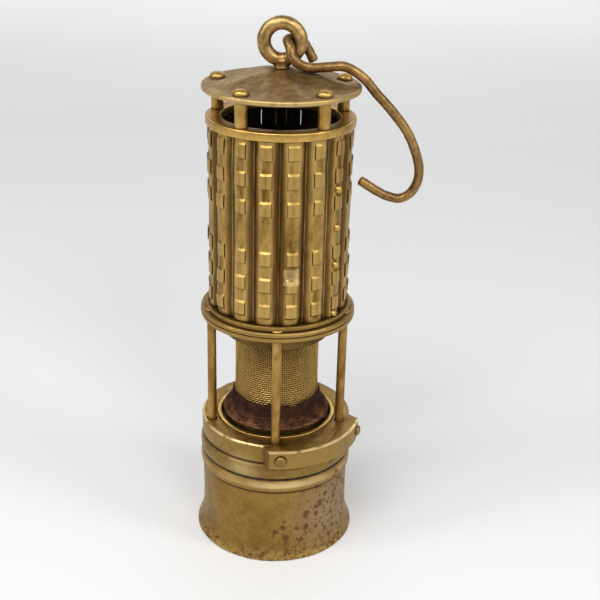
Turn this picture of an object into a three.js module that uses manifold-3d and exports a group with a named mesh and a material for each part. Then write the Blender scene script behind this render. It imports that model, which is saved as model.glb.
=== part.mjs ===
// A miner's flame safety lamp: a fuel font that screws into a five-pillar cage with a corrugated bonnet,
// a vented cap, a swivelling eye and a hanging hook. The lamp glass is missing, so the double gauze has
// dropped on to the burner deck. Millimetres, +Z up, -Y the front, z = 0 the underside of the foot.
import * as THREE from "three";
import { mergeVertices } from "three/addons/utils/BufferGeometryUtils.js";
import Module from "manifold-3d";

const wasm = await Module();
wasm.setup();

// ---- Clearances and fineness ----
const GAP = 0.3; // between two pieces that touch
const RING_SIDES = 32; // facets round a large ring
const ROD_SIDES = 12; // facets round a rod
const WIRE_SIDES = 8; // facets round the hook's wire
const THROUGH = 1; // how far a cutter runs past the face that it cuts

// ---- Font: the fuel vessel at the foot ----
const BODY_RADIUS = 41; // outside of the font's straight wall; the rings stack on it
const FOOT_FLARE = 3.8; // how far the foot spreads beyond the wall
const FOOT_HEIGHT = 15;
const FONT_HEIGHT = 49.8;
const FONT_WALL = 1.2;
const BEAD_HEIGHT = 6.8; // rolled bead at the top of the font
const BEAD_PROUD = 1.3;
const FONT_LIP = 1.8; // how far the rolled top turns in
const BOTTOM_THICKNESS = 1.5;
const GASKET_THICKNESS = 0.4;
const GASKET_WIDTH = 3;
const THREAD_INSET = 4; // from the font's wall in to the threaded collar
const COLLAR_WALL = 3.4;
const COLLAR_ROOT = 5.8; // how far the collar reaches down inside the font
const DECK_THICKNESS = 1.6;
const DECK_DROP = 3.7; // from the top of the cage's base ring down to the deck
const LAND_WIDTH = 6.9; // raised seat on the deck, under the gauze
const LAND_HEIGHT = 5.6;
const NOTCH_COUNT = 5; // ratchet notches round the collar
const NOTCH_DEPTH = 2.2;
const NOTCH_WIDTH = 6;

// ---- Keys, wells and filler in the underside ----
const KEY_OFFSET = 16.5; // wick key to the left of the axis, relighter key to the right
const WELL_RADIUS = 10.5;
const WELL_DEPTH = 8;
const WELL_WALL = 1;
const KNOB_RADIUS = 5.5;
const KNOB_HEIGHT = 5;
const KNOB_RECESS = 2;
const KNOB_FLUTES = 6;
const SHAFT_RADIUS = 1.25;
const KEY_TUBE_WALL = 0.8;
const FILLER_OFFSET = 24; // behind the axis
const FILLER_HEAD_RADIUS = 7;
const FILLER_HEAD_HEIGHT = 2.4;
const FILLER_SHANK_RADIUS = 4.7;
const FILLER_SHANK_LENGTH = 5.2;
const FILLER_RECESS = 1;
const FILLER_WASHER = 1;
const COIN_SLOT = 1.4;

// ---- Burner, wick and relighter ----
const WICK_RADIUS = 3.8;
const WICK_BOTTOM = 14;
const WICK_PROUD = 3; // wick above its tube
const WICK_TUBE_WALL = 0.8;
const WICK_TUBE_TOP = 20; // above the deck
const WICK_TUBE_DEPTH = 8; // below the deck
const PLUG_FLANGE_RADIUS = 9;
const PLUG_FLANGE = 2;
const PLUG_SPIGOT_WALL = 2.3;
const PLUG_SPIGOT = 4;
const CARRIER_RISE = 4.3; // carrier above the deck at its lowest
const CARRIER_HEIGHT = 3;
const CARRIER_WIDTH = 1.6;
const WICK_TRAVEL = 6;
const STRIKER_RADIUS = 3.2;
const STRIKER_HEIGHT = 2.6;
const STRIKER_RISE = 6;
const FLINT_RADIUS = 0.85;
const FLINT_LENGTH = 3.5;
const FLINT_HEADING = 120; // degrees from +X, the way the flint holder points from the striker
const FLINT_HOLDER_LENGTH = 8.1;
const FLINT_HOLDER_WALL = 0.75;
const FLINT_SPRING_TURNS = 5;
const FLINT_SPRING_WIRE = 0.22;
const PACKING_CLEARANCE = 1;

// ---- Cage: base ring, lock, pillars and middle ring ----
const BASE_RING_HEIGHT = 20.9;
const BASE_RING_PROUD = 0.3; // upper band beyond the font's wall
const BAND_HEIGHT = 9.6; // lower, bulging band
const BAND_PROUD = 1.4;
const PLATE_THICKNESS = 2.7;
const SEAT_WIDTH = 8; // from the upper band in to the seat's bore
const SEAT_LEDGE = 1.7;
const SEAT_RING_PROUD = 0.6;
const SEAT_RING_WIDTH = 2.4;
const LUG_REACH = 6.2; // lock lug beyond the font's wall
const LUG_HEIGHT = 10.7;
const LUG_START = -2.7; // degrees round from the front
const LUG_END = 79;
const LUG_SPLAY = 6; // degrees that each oblique end adds at the root
const COVER_THICKNESS = 1.3;
const COVER_RIM = 0.8; // of the lug above the cover
const POCKET_START = 16;
const POCKET_END = 63;
const POCKET_FLOOR = 1.8;
const POCKET_ROOF = 2.2;
const SCREW_RADIUS = 1.5;
const SCREW_HEAD_RADIUS = 3;
const SCREW_HEAD_HEIGHT = 1.7;
const PAWL_ANGLE = 26; // where the nose meets the collar
const PAWL_PIVOT_ANGLE = 57;
const PAWL_THICKNESS = 2;
const PAWL_HEIGHT = 4.6;
const PAWL_NOSE_WIDTH = 4;
const PAWL_BOSS_WALL = 0.8;
const PAWL_PLAY = 0.2; // between the pawl's boss and the cover
const PIN_RADIUS = 1.1;
const LEAF_THICKNESS = 0.4;
const PILLAR_COUNT = 5;
const PILLAR_ANGLE = 1.2; // first pillar, degrees round from the front
const PILLAR_RADIUS = 2.4;
const PILLAR_INSET = 4; // pillar circle inside the font's wall
const PILLAR_LENGTH = 60.8; // clear height between the base ring and the middle ring
const PILLAR_FOOT = 1.8;
const PILLAR_HEAD_RADIUS = 3.5;
const PILLAR_HEAD_HEIGHT = 1.7;
const FRAME_RING_HEIGHT = 5.1;
const FRAME_RING_PROUD = 0.5;
const FRAME_RING_WIDTH = 12.7;
const FRAME_LEDGE_HEIGHT = 2.1;
const COLLAR_LENGTH = 10; // glass seat below the middle ring
const COLLAR_TUBE = 2.4;
const COLLAR_FLANGE = 4.8;
const COLLAR_FLANGE_HEIGHT = 1.7;

// ---- Bonnet, cap and posts ----
const LIP_INSET = 2.5; // bonnet ring's lip inside the middle ring's edge
const LIP_WALL = 1.7;
const LIP_HEIGHT = 2.5;
const BONNET_FLOOR = 1.8;
const BONNET_FLOOR_WIDTH = 6.8;
const BONNET_HEIGHT = 96.5;
const BONNET_WALL = 0.8;
const FLUTE_COUNT = 17;
const FLUTE_DEPTH = 2.2;
const FLUTE_ANGLE = 1.3; // a groove, degrees round from the front
const FLUTE_FACETS = 4;
const FLUTE_SHARPNESS = 2.6; // higher is a flatter crest and a sharper groove
const LOUVRE_RISE = 0.8;
const LOUVRE_WIDTH = 4.8;
const LOUVRE_HEIGHT = 8.3;
const LOUVRE_SLOPE = 1.6;
const LOUVRE_PITCH = 14.2;
const LOUVRES_IN_GROUP = 3;
const LOUVRE_TOP = 1.5; // top group below the top of the bonnet
const LOUVRE_FOOT = 3.7; // bottom group above the bottom of the bonnet
const RIVET_RADIUS = 1.1;
const RIVET_HEAD_RADIUS = 1.7;
const RIVET_HEAD_HEIGHT = 0.6;
const RIVET_ANGLE = 53;
const TOP_RING_HEIGHT = 4.4;
const TOP_RING_PROUD = 1.2; // beyond the bonnet's crests
const TOP_RING_WIDTH = 7.9;
const POST_RADIUS = 3.175;
const POST_SPIGOT_RADIUS = 2.2;
const POST_INSET = 4.2; // post circle inside the top ring's edge
const POST_LENGTH = 12.6;
const POST_ANGLE = 38.8;
const POST_HEAD_RADIUS = 4;
const POST_HEAD_HEIGHT = 3;
const CAP_OVERHANG = 2; // cap beyond the top ring
const CAP_RIM_HEIGHT = 2.6;
const CAP_LAND_WIDTH = 9.2; // flat round the cap, where the posts are riveted
const DOME_RISE = 7.2;
const DOME_CROWN_RADIUS = 5; // flat under the eye
const DOME_WALL = 2.2;

// ---- Gauze ----
const GAUZE_HEIGHT = 84;
const GAUZE_TAPER = 0.071; // radius lost for each millimetre of height
const GAUZE_WALL = 0.6;
const GAUZE_SPACING = 2.6; // between the two gauzes
const GAUZE_FOOT_CLEARANCE = 1; // foot ring inside the seat ring
const GAUZE_FOOT_WIDTH = 5.6;
const GAUZE_FOOT_HEIGHT = 13;
const GAUZE_FOOT_WALL = 0.9;

// ---- Eye and hook ----
const EYE_RADIUS = 9.15; // to the middle of the ring's section
const EYE_SECTION = 3.35;
const EYE_RISE = 13.5; // ring's centre above the crown of the cap
const EYE_NECK_RADIUS = 3.45;
const EYE_SHANK_RADIUS = 3;
const EYE_SHANK_LENGTH = 8.5; // below the crown
const NUT_RADIUS = 6.2;
const NUT_HEIGHT = 4;
const WIRE_RADIUS = 2.45;
const WIRE_PLAY = 0.5; // between the hook's loop and the eye
const HOOK_STEPS = 64;

// ---- Heights, stacked up from the foot ----
const ringBottom = FONT_HEIGHT + GAP + GASKET_THICKNESS + GAP;
const ringTop = ringBottom + BASE_RING_HEIGHT;
const deckTop = ringTop - DECK_DROP;
const landTop = deckTop + LAND_HEIGHT;
const frameBottom = ringTop + PILLAR_LENGTH;
const frameTop = frameBottom + FRAME_RING_HEIGHT;
const lipBottom = frameTop + GAP;
const bonnetBottom = lipBottom + BONNET_FLOOR + GAP;
const bonnetTop = bonnetBottom + BONNET_HEIGHT;
const topRingBottom = bonnetTop + GAP;
const topRingTop = topRingBottom + TOP_RING_HEIGHT;
const capBottom = topRingTop + GAP + POST_LENGTH + GAP;
const capTop = capBottom + CAP_RIM_HEIGHT;
const crown = capTop + DOME_RISE;
const eyeHeight = crown + EYE_RISE;

// ---- Radii, worked in and out from the font's wall ----
const collarRadius = BODY_RADIUS - THREAD_INSET;
const baseRadius = BODY_RADIUS + BASE_RING_PROUD;
const seatRadius = baseRadius - SEAT_WIDTH;
const seatRingInner = seatRadius - GAP - SEAT_RING_WIDTH;
const lugRadius = BODY_RADIUS + LUG_REACH;
const pillarCircle = BODY_RADIUS - PILLAR_INSET;
const frameRadius = BODY_RADIUS + FRAME_RING_PROUD;
const frameInner = frameRadius - FRAME_RING_WIDTH;
const glassCollarRadius = frameInner - GAP;
const lipRadius = frameRadius - LIP_INSET;
const crestRadius = lipRadius - LIP_WALL - GAP;
const topRingRadius = crestRadius + TOP_RING_PROUD;
const topRingInner = topRingRadius - TOP_RING_WIDTH;
const postCircle = topRingRadius - POST_INSET;
const capRadius = topRingRadius + CAP_OVERHANG;
const gauzeFootRadius = seatRingInner - GAUZE_FOOT_CLEARANCE;
const gauzeRadius = gauzeFootRadius - GAUZE_FOOT_WIDTH;
const gauzeBottom = landTop + GAP;
const landRadius = gauzeFootRadius - 2;
const landInner = landRadius - LAND_WIDTH;

// ---- Finishes ----
function finish(color, roughness, metalness) {
  return { color, roughness, metalness };
}
const FONT_BRASS = finish(0x9a7a3f, 0.42, 0.9);
const RING_BRASS = finish(0x8f7236, 0.45, 0.9);
const BONNET_BRASS = finish(0xa08642, 0.4, 0.9);
const CAP_BRONZE = finish(0x77602f, 0.55, 0.85);
const PILLAR_BRASS = finish(0x93703a, 0.45, 0.9);
const HOOK_BRONZE = finish(0x5f4224, 0.55, 0.8);
const GAUZE_BRASS = finish(0x8a7038, 0.6, 0.7);
const GAUZE_RUST = finish(0x4f2b1e, 0.85, 0.2);
const STEEL = finish(0x8c8c88, 0.4, 0.9);
const FLINT_GREY = finish(0x45423f, 0.7, 0.3);
const LEATHER = finish(0x2b1d14, 0.85, 0);
const COTTON = finish(0xd8d0bd, 0.95, 0);

// ---- Solid helpers ----
function polar(radius, degrees, z = 0) {
  const angle = THREE.MathUtils.degToRad(degrees);
  return new THREE.Vector3(radius * Math.sin(angle), -radius * Math.cos(angle), z);
}

// A closed three.js geometry as a manifold-3d solid, turned outwards if its faces point in.
function solid(geometry) {
  const bare = new THREE.BufferGeometry();
  bare.setAttribute("position", geometry.getAttribute("position"));
  bare.setIndex(geometry.index);
  const merged = mergeVertices(bare, 1e-4);
  const corners = [];
  const index = merged.index.array;
  for (let i = 0; i < index.length; i += 3) {
    const [a, b, c] = [index[i], index[i + 1], index[i + 2]];
    if (a !== b && b !== c && c !== a) corners.push(a, b, c);
  }
  const build = (triVerts) =>
    new wasm.Manifold(
      new wasm.Mesh({
        numProp: 3,
        vertProperties: new Float32Array(merged.getAttribute("position").array),
        triVerts: new Uint32Array(triVerts),
      }),
    );
  const made = build(corners);
  return made.volume() > 0 ? made : build(corners.reverse());
}

function join(first, ...others) {
  return others.reduce((whole, other) => whole.add(other), first);
}

function cut(first, ...others) {
  return others.reduce((whole, other) => whole.subtract(other), first);
}

// A turned piece about Z from [radius, height] points: a closed loop, or a line from axis to axis.
function turned(profile, sides = RING_SIDES) {
  const points = profile.map(([radius, height]) => new THREE.Vector2(radius, height));
  const onAxis = profile[0][0] === 0 && profile.at(-1)[0] === 0;
  if (!onAxis) points.push(points[0].clone());
  return solid(new THREE.LatheGeometry(points, sides).rotateX(Math.PI / 2));
}

function tube(inner, outer, bottom, top, sides = RING_SIDES) {
  return turned([[inner, bottom], [outer, bottom], [outer, top], [inner, top]], sides);
}

function disc(radius, bottom, top, sides = ROD_SIDES) {
  return turned([[0, bottom], [radius, bottom], [radius, top], [0, top]], sides);
}

function placed(piece, x, y, z = 0) {
  return piece.translate([x, y, z]);
}

// A piece made upright on the axis, laid down so that its +Z points outwards at an angle and height.
function outward(piece, degrees, height) {
  return piece.rotate([90, 0, 0]).rotate([0, 0, degrees]).translate([0, 0, height]);
}

function extruded(points, bottom, top) {
  const shape = new THREE.Shape(points.map((p) => new THREE.Vector2(p.x, p.y)));
  const geometry = new THREE.ExtrudeGeometry(shape, { depth: top - bottom, bevelEnabled: false });
  return solid(geometry.translate(0, 0, bottom));
}

// Points along an arc about the axis, both ends included.
function arc(radius, from, to, steps) {
  return Array.from({ length: steps + 1 }, (_, i) => polar(radius, from + ((to - from) * i) / steps));
}

// A block between two radii and two angles; the inner edge may be splayed wider than the outer.
function sector(inner, outer, from, to, bottom, top, splay = 0, steps = 8) {
  const outside = arc(outer, from, to, steps);
  const inside = arc(inner, to + splay, from - splay, steps);
  return extruded([...outside, ...inside], bottom, top);
}

function wire(curve, radius, sides, steps) {
  const section = new THREE.Shape(
    Array.from({ length: sides }, (_, i) => {
      const angle = (i * 2 * Math.PI) / sides;
      return new THREE.Vector2(radius * Math.cos(angle), radius * Math.sin(angle));
    }),
  );
  return solid(new THREE.ExtrudeGeometry(section, { steps, extrudePath: curve, bevelEnabled: false }));
}

// ---- The lamp, one mesh for each piece ----
const lamp = new THREE.Group();

function add(name, piece, look) {
  const { vertProperties, triVerts } = piece.getMesh();
  const geometry = new THREE.BufferGeometry();
  geometry.setAttribute("position", new THREE.BufferAttribute(vertProperties, 3));
  geometry.setIndex(new THREE.BufferAttribute(triVerts, 1));
  geometry.computeVertexNormals();
  const mesh = new THREE.Mesh(geometry, new THREE.MeshStandardMaterial(look));
  mesh.name = name;
  lamp.add(mesh);
}

// ---- Font ----
const keyPlaces = [-KEY_OFFSET, KEY_OFFSET];
const shaftHole = SHAFT_RADIUS + GAP;
const wellTop = WELL_DEPTH + WELL_WALL;
const fontInner = BODY_RADIUS - FONT_WALL;

// Radius of the concave foot at a height.
function footRadius(z) {
  return BODY_RADIUS + FOOT_FLARE * (1 - z / FOOT_HEIGHT) ** 2;
}

function fontShell() {
  const flare = [0, 0.2, 0.45, 0.7, 1].map((share) => share * FOOT_HEIGHT);
  const beadBottom = FONT_HEIGHT - BEAD_HEIGHT;
  const bead = [
    [BODY_RADIUS, beadBottom],
    [BODY_RADIUS + BEAD_PROUD * 0.8, beadBottom + BEAD_HEIGHT * 0.25],
    [BODY_RADIUS + BEAD_PROUD, beadBottom + BEAD_HEIGHT * 0.55],
    [BODY_RADIUS + BEAD_PROUD * 0.6, FONT_HEIGHT - 0.6],
    [BODY_RADIUS, FONT_HEIGHT],
  ];
  return turned([
    ...flare.map((z) => [footRadius(z), z]),
    ...bead,
    [BODY_RADIUS - FONT_LIP, FONT_HEIGHT],
    [BODY_RADIUS - FONT_LIP, FONT_HEIGHT - FONT_WALL],
    [fontInner, FONT_HEIGHT - FONT_WALL - 1],
    ...flare.toReversed().map((z) => [footRadius(z) - FONT_WALL, z]),
  ]);
}
add("font_shell", fontShell(), FONT_BRASS);

const fillerCup = FILLER_HEAD_RADIUS + 1;
const fillerRoof = FILLER_RECESS + FILLER_HEAD_HEIGHT + GAP + FILLER_WASHER + GAP;
const fillerHole = FILLER_SHANK_RADIUS + GAP;
const fillerBoss = FILLER_RECESS + FILLER_HEAD_HEIGHT + FILLER_SHANK_LENGTH + GAP;

function fontBottom() {
  const plateRadius = footRadius(BOTTOM_THICKNESS) - FONT_WALL - GAP;
  let plate = disc(plateRadius, 0, BOTTOM_THICKNESS, RING_SIDES);
  for (const x of keyPlaces) {
    plate = join(plate, placed(disc(WELL_RADIUS + WELL_WALL, 0, wellTop, 16), x, 0));
  }
  plate = join(plate, placed(disc(fillerCup + WELL_WALL, 0, fillerRoof + WELL_WALL, 16), 0, FILLER_OFFSET));
  plate = join(plate, placed(disc(fillerHole + WELL_WALL, fillerRoof, fillerBoss, 16), 0, FILLER_OFFSET));
  for (const x of keyPlaces) {
    plate = cut(plate, placed(disc(WELL_RADIUS, -THROUGH, WELL_DEPTH, 16), x, 0));
    plate = cut(plate, placed(disc(shaftHole, 0, wellTop + THROUGH), x, 0));
  }
  plate = cut(plate, placed(disc(fillerCup, -THROUGH, fillerRoof, 16), 0, FILLER_OFFSET));
  return cut(plate, placed(disc(fillerHole, 0, fillerBoss + THROUGH, 16), 0, FILLER_OFFSET));
}
add("font_bottom_plate", fontBottom(), FONT_BRASS);

// The collar that screws into the base ring, with the burner deck and the gauze's raised land on it.
const collarBottom = FONT_HEIGHT - COLLAR_ROOT;
const deckBottom = deckTop - DECK_THICKNESS;
const wickTubeRadius = WICK_RADIUS + GAP + 0.1 + WICK_TUBE_WALL;
const plugBore = wickTubeRadius + GAP;
const plugSpigot = plugBore + PLUG_SPIGOT_WALL;
const deckHole = plugSpigot + GAP;

function fontNeck() {
  const flange = fontInner - GAP;
  const inner = collarRadius - COLLAR_WALL;
  let neck = turned([
    [inner, collarBottom],
    [flange, collarBottom],
    [flange, collarBottom + 2],
    [collarRadius, collarBottom + 2],
    [collarRadius, deckTop - 0.6],
    [collarRadius - 0.6, deckTop],
    [landRadius, deckTop],
    [landRadius, landTop],
    [landInner, landTop],
    [landInner, deckTop],
    [deckHole, deckTop],
    [deckHole, deckBottom],
    [inner, deckBottom],
  ]);
  for (const x of keyPlaces) neck = cut(neck, placed(disc(shaftHole, deckBottom - 1, deckTop + 1), x, 0));
  const notchBottom = pocketBottom - GAP;
  const notch = new THREE.BoxGeometry(NOTCH_WIDTH, 2 * NOTCH_DEPTH, deckTop - notchBottom + THROUGH);
  notch.translate(0, -collarRadius, (deckTop + notchBottom + THROUGH) / 2);
  for (let i = 0; i < NOTCH_COUNT; i += 1) {
    neck = cut(neck, solid(notch).rotate([0, 0, PAWL_ANGLE + (360 / NOTCH_COUNT) * i]));
  }
  return neck;
}
const lugBottom = ringTop - LUG_HEIGHT;
const pocketBottom = lugBottom + POCKET_FLOOR;
const pocketTop = ringTop - POCKET_ROOF;
add("font_neck", fontNeck(), RING_BRASS);

const tubeInner = SHAFT_RADIUS + GAP;
const keyTube = tube(tubeInner, tubeInner + KEY_TUBE_WALL, wellTop + GAP, deckBottom - GAP, ROD_SIDES);
add("wick_key_tube", placed(keyTube, -KEY_OFFSET, 0), FONT_BRASS);
add("relighter_tube", placed(keyTube, KEY_OFFSET, 0), FONT_BRASS);

function fuelPacking() {
  const bottom = Math.max(wellTop, fillerBoss) + PACKING_CLEARANCE;
  const top = collarBottom - PACKING_CLEARANCE;
  let pad = tube(WICK_RADIUS + PACKING_CLEARANCE, fontInner - PACKING_CLEARANCE, bottom, top, 24);
  const hole = disc(tubeInner + KEY_TUBE_WALL + PACKING_CLEARANCE, bottom - THROUGH, top + THROUGH);
  for (const x of keyPlaces) pad = cut(pad, placed(hole, x, 0));
  return pad;
}
add("fuel_packing", fuelPacking(), COTTON);

// ---- Burner ----
const plugFlangeBottom = deckTop + GAP;
const burnerPlug = turned(
  [
    [plugBore, deckTop - PLUG_SPIGOT],
    [plugSpigot, deckTop - PLUG_SPIGOT],
    [plugSpigot, plugFlangeBottom],
    [PLUG_FLANGE_RADIUS, plugFlangeBottom],
    [PLUG_FLANGE_RADIUS, plugFlangeBottom + PLUG_FLANGE],
    [plugBore, plugFlangeBottom + PLUG_FLANGE],
  ],
  24,
);
add("burner_plug", burnerPlug, RING_BRASS);

const carrierBottom = deckTop + CARRIER_RISE;
const carrierTop = carrierBottom + CARRIER_HEIGHT;
const wickTubeTop = deckTop + WICK_TUBE_TOP;

function box(x0, x1, y0, y1, z0, z1) {
  const geometry = new THREE.BoxGeometry(x1 - x0, y1 - y0, z1 - z0);
  return solid(geometry.translate((x0 + x1) / 2, (y0 + y1) / 2, (z0 + z1) / 2));
}

function wickTube() {
  const slot = CARRIER_WIDTH / 2 + GAP;
  const foot = deckTop - WICK_TUBE_DEPTH;
  const whole = tube(wickTubeRadius - WICK_TUBE_WALL, wickTubeRadius, foot, wickTubeTop, 20);
  const slotTop = carrierTop + WICK_TRAVEL + GAP;
  return cut(whole, box(-wickTubeRadius - 1, 0, -slot, slot, carrierBottom - GAP, slotTop));
}
add("wick_tube", wickTube(), RING_BRASS);
add("wick", disc(WICK_RADIUS, WICK_BOTTOM, wickTubeTop + WICK_PROUD, 16), COTTON);

function wickCarrier() {
  const boss = placed(disc(shaftHole + 1.2, carrierBottom, carrierTop), -KEY_OFFSET, 0);
  const half = CARRIER_WIDTH / 2;
  const arm = box(-KEY_OFFSET, -WICK_RADIUS - GAP, -half, half, carrierBottom, carrierTop);
  const hole = disc(shaftHole, carrierBottom - THROUGH, carrierTop + THROUGH);
  return cut(join(boss, arm), placed(hole, -KEY_OFFSET, 0));
}
add("wick_carrier", wickCarrier(), STEEL);

// A fluted knob with a through bore for its shaft.
function knob() {
  const top = KNOB_RECESS + KNOB_HEIGHT;
  const flute = disc(0.8, KNOB_RECESS - THROUGH, top + THROUGH, 4);
  let grip = tube(shaftHole, KNOB_RADIUS, KNOB_RECESS, top, 12);
  for (let i = 0; i < KNOB_FLUTES; i += 1) {
    const place = polar(KNOB_RADIUS, (360 / KNOB_FLUTES) * i);
    grip = cut(grip, placed(flute, place.x, place.y));
  }
  return grip;
}
const screwTop = carrierTop + WICK_TRAVEL + 2;
const strikerBottom = deckTop + STRIKER_RISE;
const strikerTop = strikerBottom + STRIKER_HEIGHT;
add("wick_knob", placed(knob(), -KEY_OFFSET, 0), RING_BRASS);
add("wick_screw", placed(disc(SHAFT_RADIUS, KNOB_RECESS + 0.5, screwTop), -KEY_OFFSET, 0), STEEL);
add("relighter_knob", placed(knob(), KEY_OFFSET, 0), RING_BRASS);
add("relighter_shaft", placed(disc(SHAFT_RADIUS, KNOB_RECESS + 0.5, strikerTop + 1), KEY_OFFSET, 0), STEEL);

const striker = tube(shaftHole, STRIKER_RADIUS, strikerBottom, strikerTop, ROD_SIDES);
add("striker_wheel", placed(striker, KEY_OFFSET, 0), STEEL);

// The flint, its spring and their holder lie in line with the striker's rim.
const flintStart = STRIKER_RADIUS + GAP;
const flintEnd = flintStart + FLINT_LENGTH;
const holderStart = flintStart + GAP;
const holderEnd = holderStart + FLINT_HOLDER_LENGTH;
const holderBore = FLINT_RADIUS + GAP;
const holderRadius = holderBore + FLINT_HOLDER_WALL;
const flintHeight = strikerBottom + STRIKER_HEIGHT / 2;

// Moves a piece made along +Z from the origin to lie along the flint's line.
function alongFlint(piece) {
  return piece.rotate([0, 90, 0]).rotate([0, 0, FLINT_HEADING]).translate([KEY_OFFSET, 0, flintHeight]);
}

function flintHolder() {
  const barrel = disc(holderRadius, holderStart, holderEnd);
  const drop = flintHeight - deckTop - GAP;
  const middle = (holderStart + holderEnd) / 2;
  const foot = box(0, drop, -1, 1, middle - 1.5, middle + 1.5);
  const bore = disc(holderBore, holderStart - THROUGH, holderEnd - FLINT_HOLDER_WALL);
  return alongFlint(cut(join(barrel, foot), bore));
}
add("flint_holder", flintHolder(), RING_BRASS);
add("flint", alongFlint(disc(FLINT_RADIUS, flintStart, flintEnd, 8)), FLINT_GREY);

class Helix extends THREE.Curve {
  constructor(radius, start, end, turns) {
    super();
    Object.assign(this, { radius, start, end, turns });
  }

  getPoint(share) {
    const angle = share * this.turns * 2 * Math.PI;
    const z = this.start + (this.end - this.start) * share;
    return new THREE.Vector3(this.radius * Math.cos(angle), this.radius * Math.sin(angle), z);
  }
}
const springStart = flintEnd + GAP + FLINT_SPRING_WIRE;
const springEnd = holderEnd - FLINT_HOLDER_WALL - GAP - FLINT_SPRING_WIRE;
const springCurve = new Helix(FLINT_RADIUS - FLINT_SPRING_WIRE, springStart, springEnd, FLINT_SPRING_TURNS);
add("flint_spring", alongFlint(wire(springCurve, FLINT_SPRING_WIRE, 4, FLINT_SPRING_TURNS * 7)), STEEL);

// ---- Filler ----
function fillerPlug() {
  const shankBottom = FILLER_RECESS + FILLER_HEAD_HEIGHT;
  const head = disc(FILLER_HEAD_RADIUS, FILLER_RECESS, shankBottom, 16);
  const shank = disc(FILLER_SHANK_RADIUS, shankBottom - 0.5, shankBottom + FILLER_SHANK_LENGTH, 16);
  const half = COIN_SLOT / 2;
  const reach = FILLER_HEAD_RADIUS + 1;
  const slot = box(-reach, reach, -half, half, 0, FILLER_RECESS + COIN_SLOT);
  return placed(cut(join(head, shank), slot), 0, FILLER_OFFSET);
}
add("filler_plug", fillerPlug(), RING_BRASS);
const washerBottom = FILLER_RECESS + FILLER_HEAD_HEIGHT + GAP;
const washer = tube(fillerHole, FILLER_HEAD_RADIUS, washerBottom, washerBottom + FILLER_WASHER, 16);
add("filler_washer", placed(washer, 0, FILLER_OFFSET), LEATHER);

// ---- Seal between the font and the cage ----
const gasketBottom = FONT_HEIGHT + GAP;
const gasketInner = BODY_RADIUS - GASKET_WIDTH;
const gasket = tube(gasketInner, BODY_RADIUS + 0.5, gasketBottom, gasketBottom + GASKET_THICKNESS);
add("font_gasket", gasket, LEATHER);

// ---- Base ring with its lock lug ----
const lockScrewAngles = [LUG_START + 7.2, LUG_END - 3];
const lockScrewHeight = lugBottom + (LUG_HEIGHT - COVER_RIM) / 2;
const pillarAngles = Array.from({ length: PILLAR_COUNT }, (_, i) => PILLAR_ANGLE + (360 / PILLAR_COUNT) * i);
const pawlBoss = PIN_RADIUS + GAP + PAWL_BOSS_WALL;
const pawlMiddle = lugRadius - COVER_THICKNESS - PAWL_PLAY - pawlBoss;
const pinPlace = polar(pawlMiddle, PAWL_PIVOT_ANGLE);
const pinBottom = lugBottom + 0.4;
const pinTop = ringTop - 1;

function baseRing() {
  const threadBore = collarRadius + 0.7;
  const bandRadius = BODY_RADIUS + BAND_PROUD;
  const bandTop = ringBottom + BAND_HEIGHT;
  const plateBottom = ringTop - PLATE_THICKNESS;
  const ledgeTop = plateBottom + PLATE_THICKNESS * 0.55;
  let ring = turned([
    [threadBore, ringBottom],
    [bandRadius - 0.5, ringBottom],
    [bandRadius, ringBottom + BAND_HEIGHT * 0.4],
    [bandRadius - 0.4, bandTop],
    [baseRadius, bandTop + 0.3],
    [baseRadius, ringTop - 0.7],
    [baseRadius - 0.6, ringTop],
    [seatRadius, ringTop],
    [seatRadius, ledgeTop],
    [seatRadius - SEAT_LEDGE, ledgeTop],
    [seatRadius - SEAT_LEDGE, plateBottom],
    [threadBore, plateBottom],
  ]);
  const root = baseRadius - 1;
  ring = join(ring, sector(root, lugRadius, LUG_START, LUG_END, lugBottom, ringTop, LUG_SPLAY, 12));
  const coverSeat = lugRadius - COVER_THICKNESS - GAP;
  const coverTop = ringTop - COVER_RIM + GAP;
  const seatBottom = lugBottom - THROUGH;
  const seat = sector(coverSeat, lugRadius + 2, LUG_START - 8, LUG_END + 8, seatBottom, coverTop, 0, 14);
  ring = cut(ring, seat);
  ring = cut(ring, sector(root - 4, lugRadius, POCKET_START, POCKET_END, pocketBottom, pocketTop));
  const screwHole = disc(SCREW_RADIUS + GAP, threadBore + 0.8, lugRadius + 1);
  for (const angle of lockScrewAngles) ring = cut(ring, outward(screwHole, angle, lockScrewHeight));
  const pinHole = disc(PIN_RADIUS + GAP, lugBottom - THROUGH, pinTop + GAP);
  ring = cut(ring, placed(pinHole, pinPlace.x, pinPlace.y));
  const foot = disc(PILLAR_RADIUS + GAP, ringTop - PILLAR_FOOT - GAP, ringTop + THROUGH);
  for (const angle of pillarAngles) {
    const place = polar(pillarCircle, angle);
    ring = cut(ring, placed(foot, place.x, place.y));
  }
  return ring;
}
add("base_ring", baseRing(), RING_BRASS);

function seatRing() {
  const bottom = ringTop - PLATE_THICKNESS * 0.45 + GAP;
  const top = ringTop + SEAT_RING_PROUD;
  const outer = seatRadius - GAP;
  return turned([
    [seatRingInner, bottom],
    [outer, bottom],
    [outer, top - 0.3],
    [outer - 0.3, top],
    [seatRingInner, top],
  ]);
}
add("seat_ring", seatRing(), RING_BRASS);

// ---- Lock: cover, screws, pawl, pin and leaf spring ----
function lockCover() {
  const inner = lugRadius - COVER_THICKNESS;
  let cover = sector(inner, lugRadius, LUG_START, LUG_END, lugBottom, ringTop - COVER_RIM, 0, 12);
  const hole = disc(SCREW_RADIUS + GAP, inner - 2, lugRadius + 2);
  for (const angle of lockScrewAngles) cover = cut(cover, outward(hole, angle, lockScrewHeight));
  return cover;
}
add("lock_cover", lockCover(), RING_BRASS);

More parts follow.
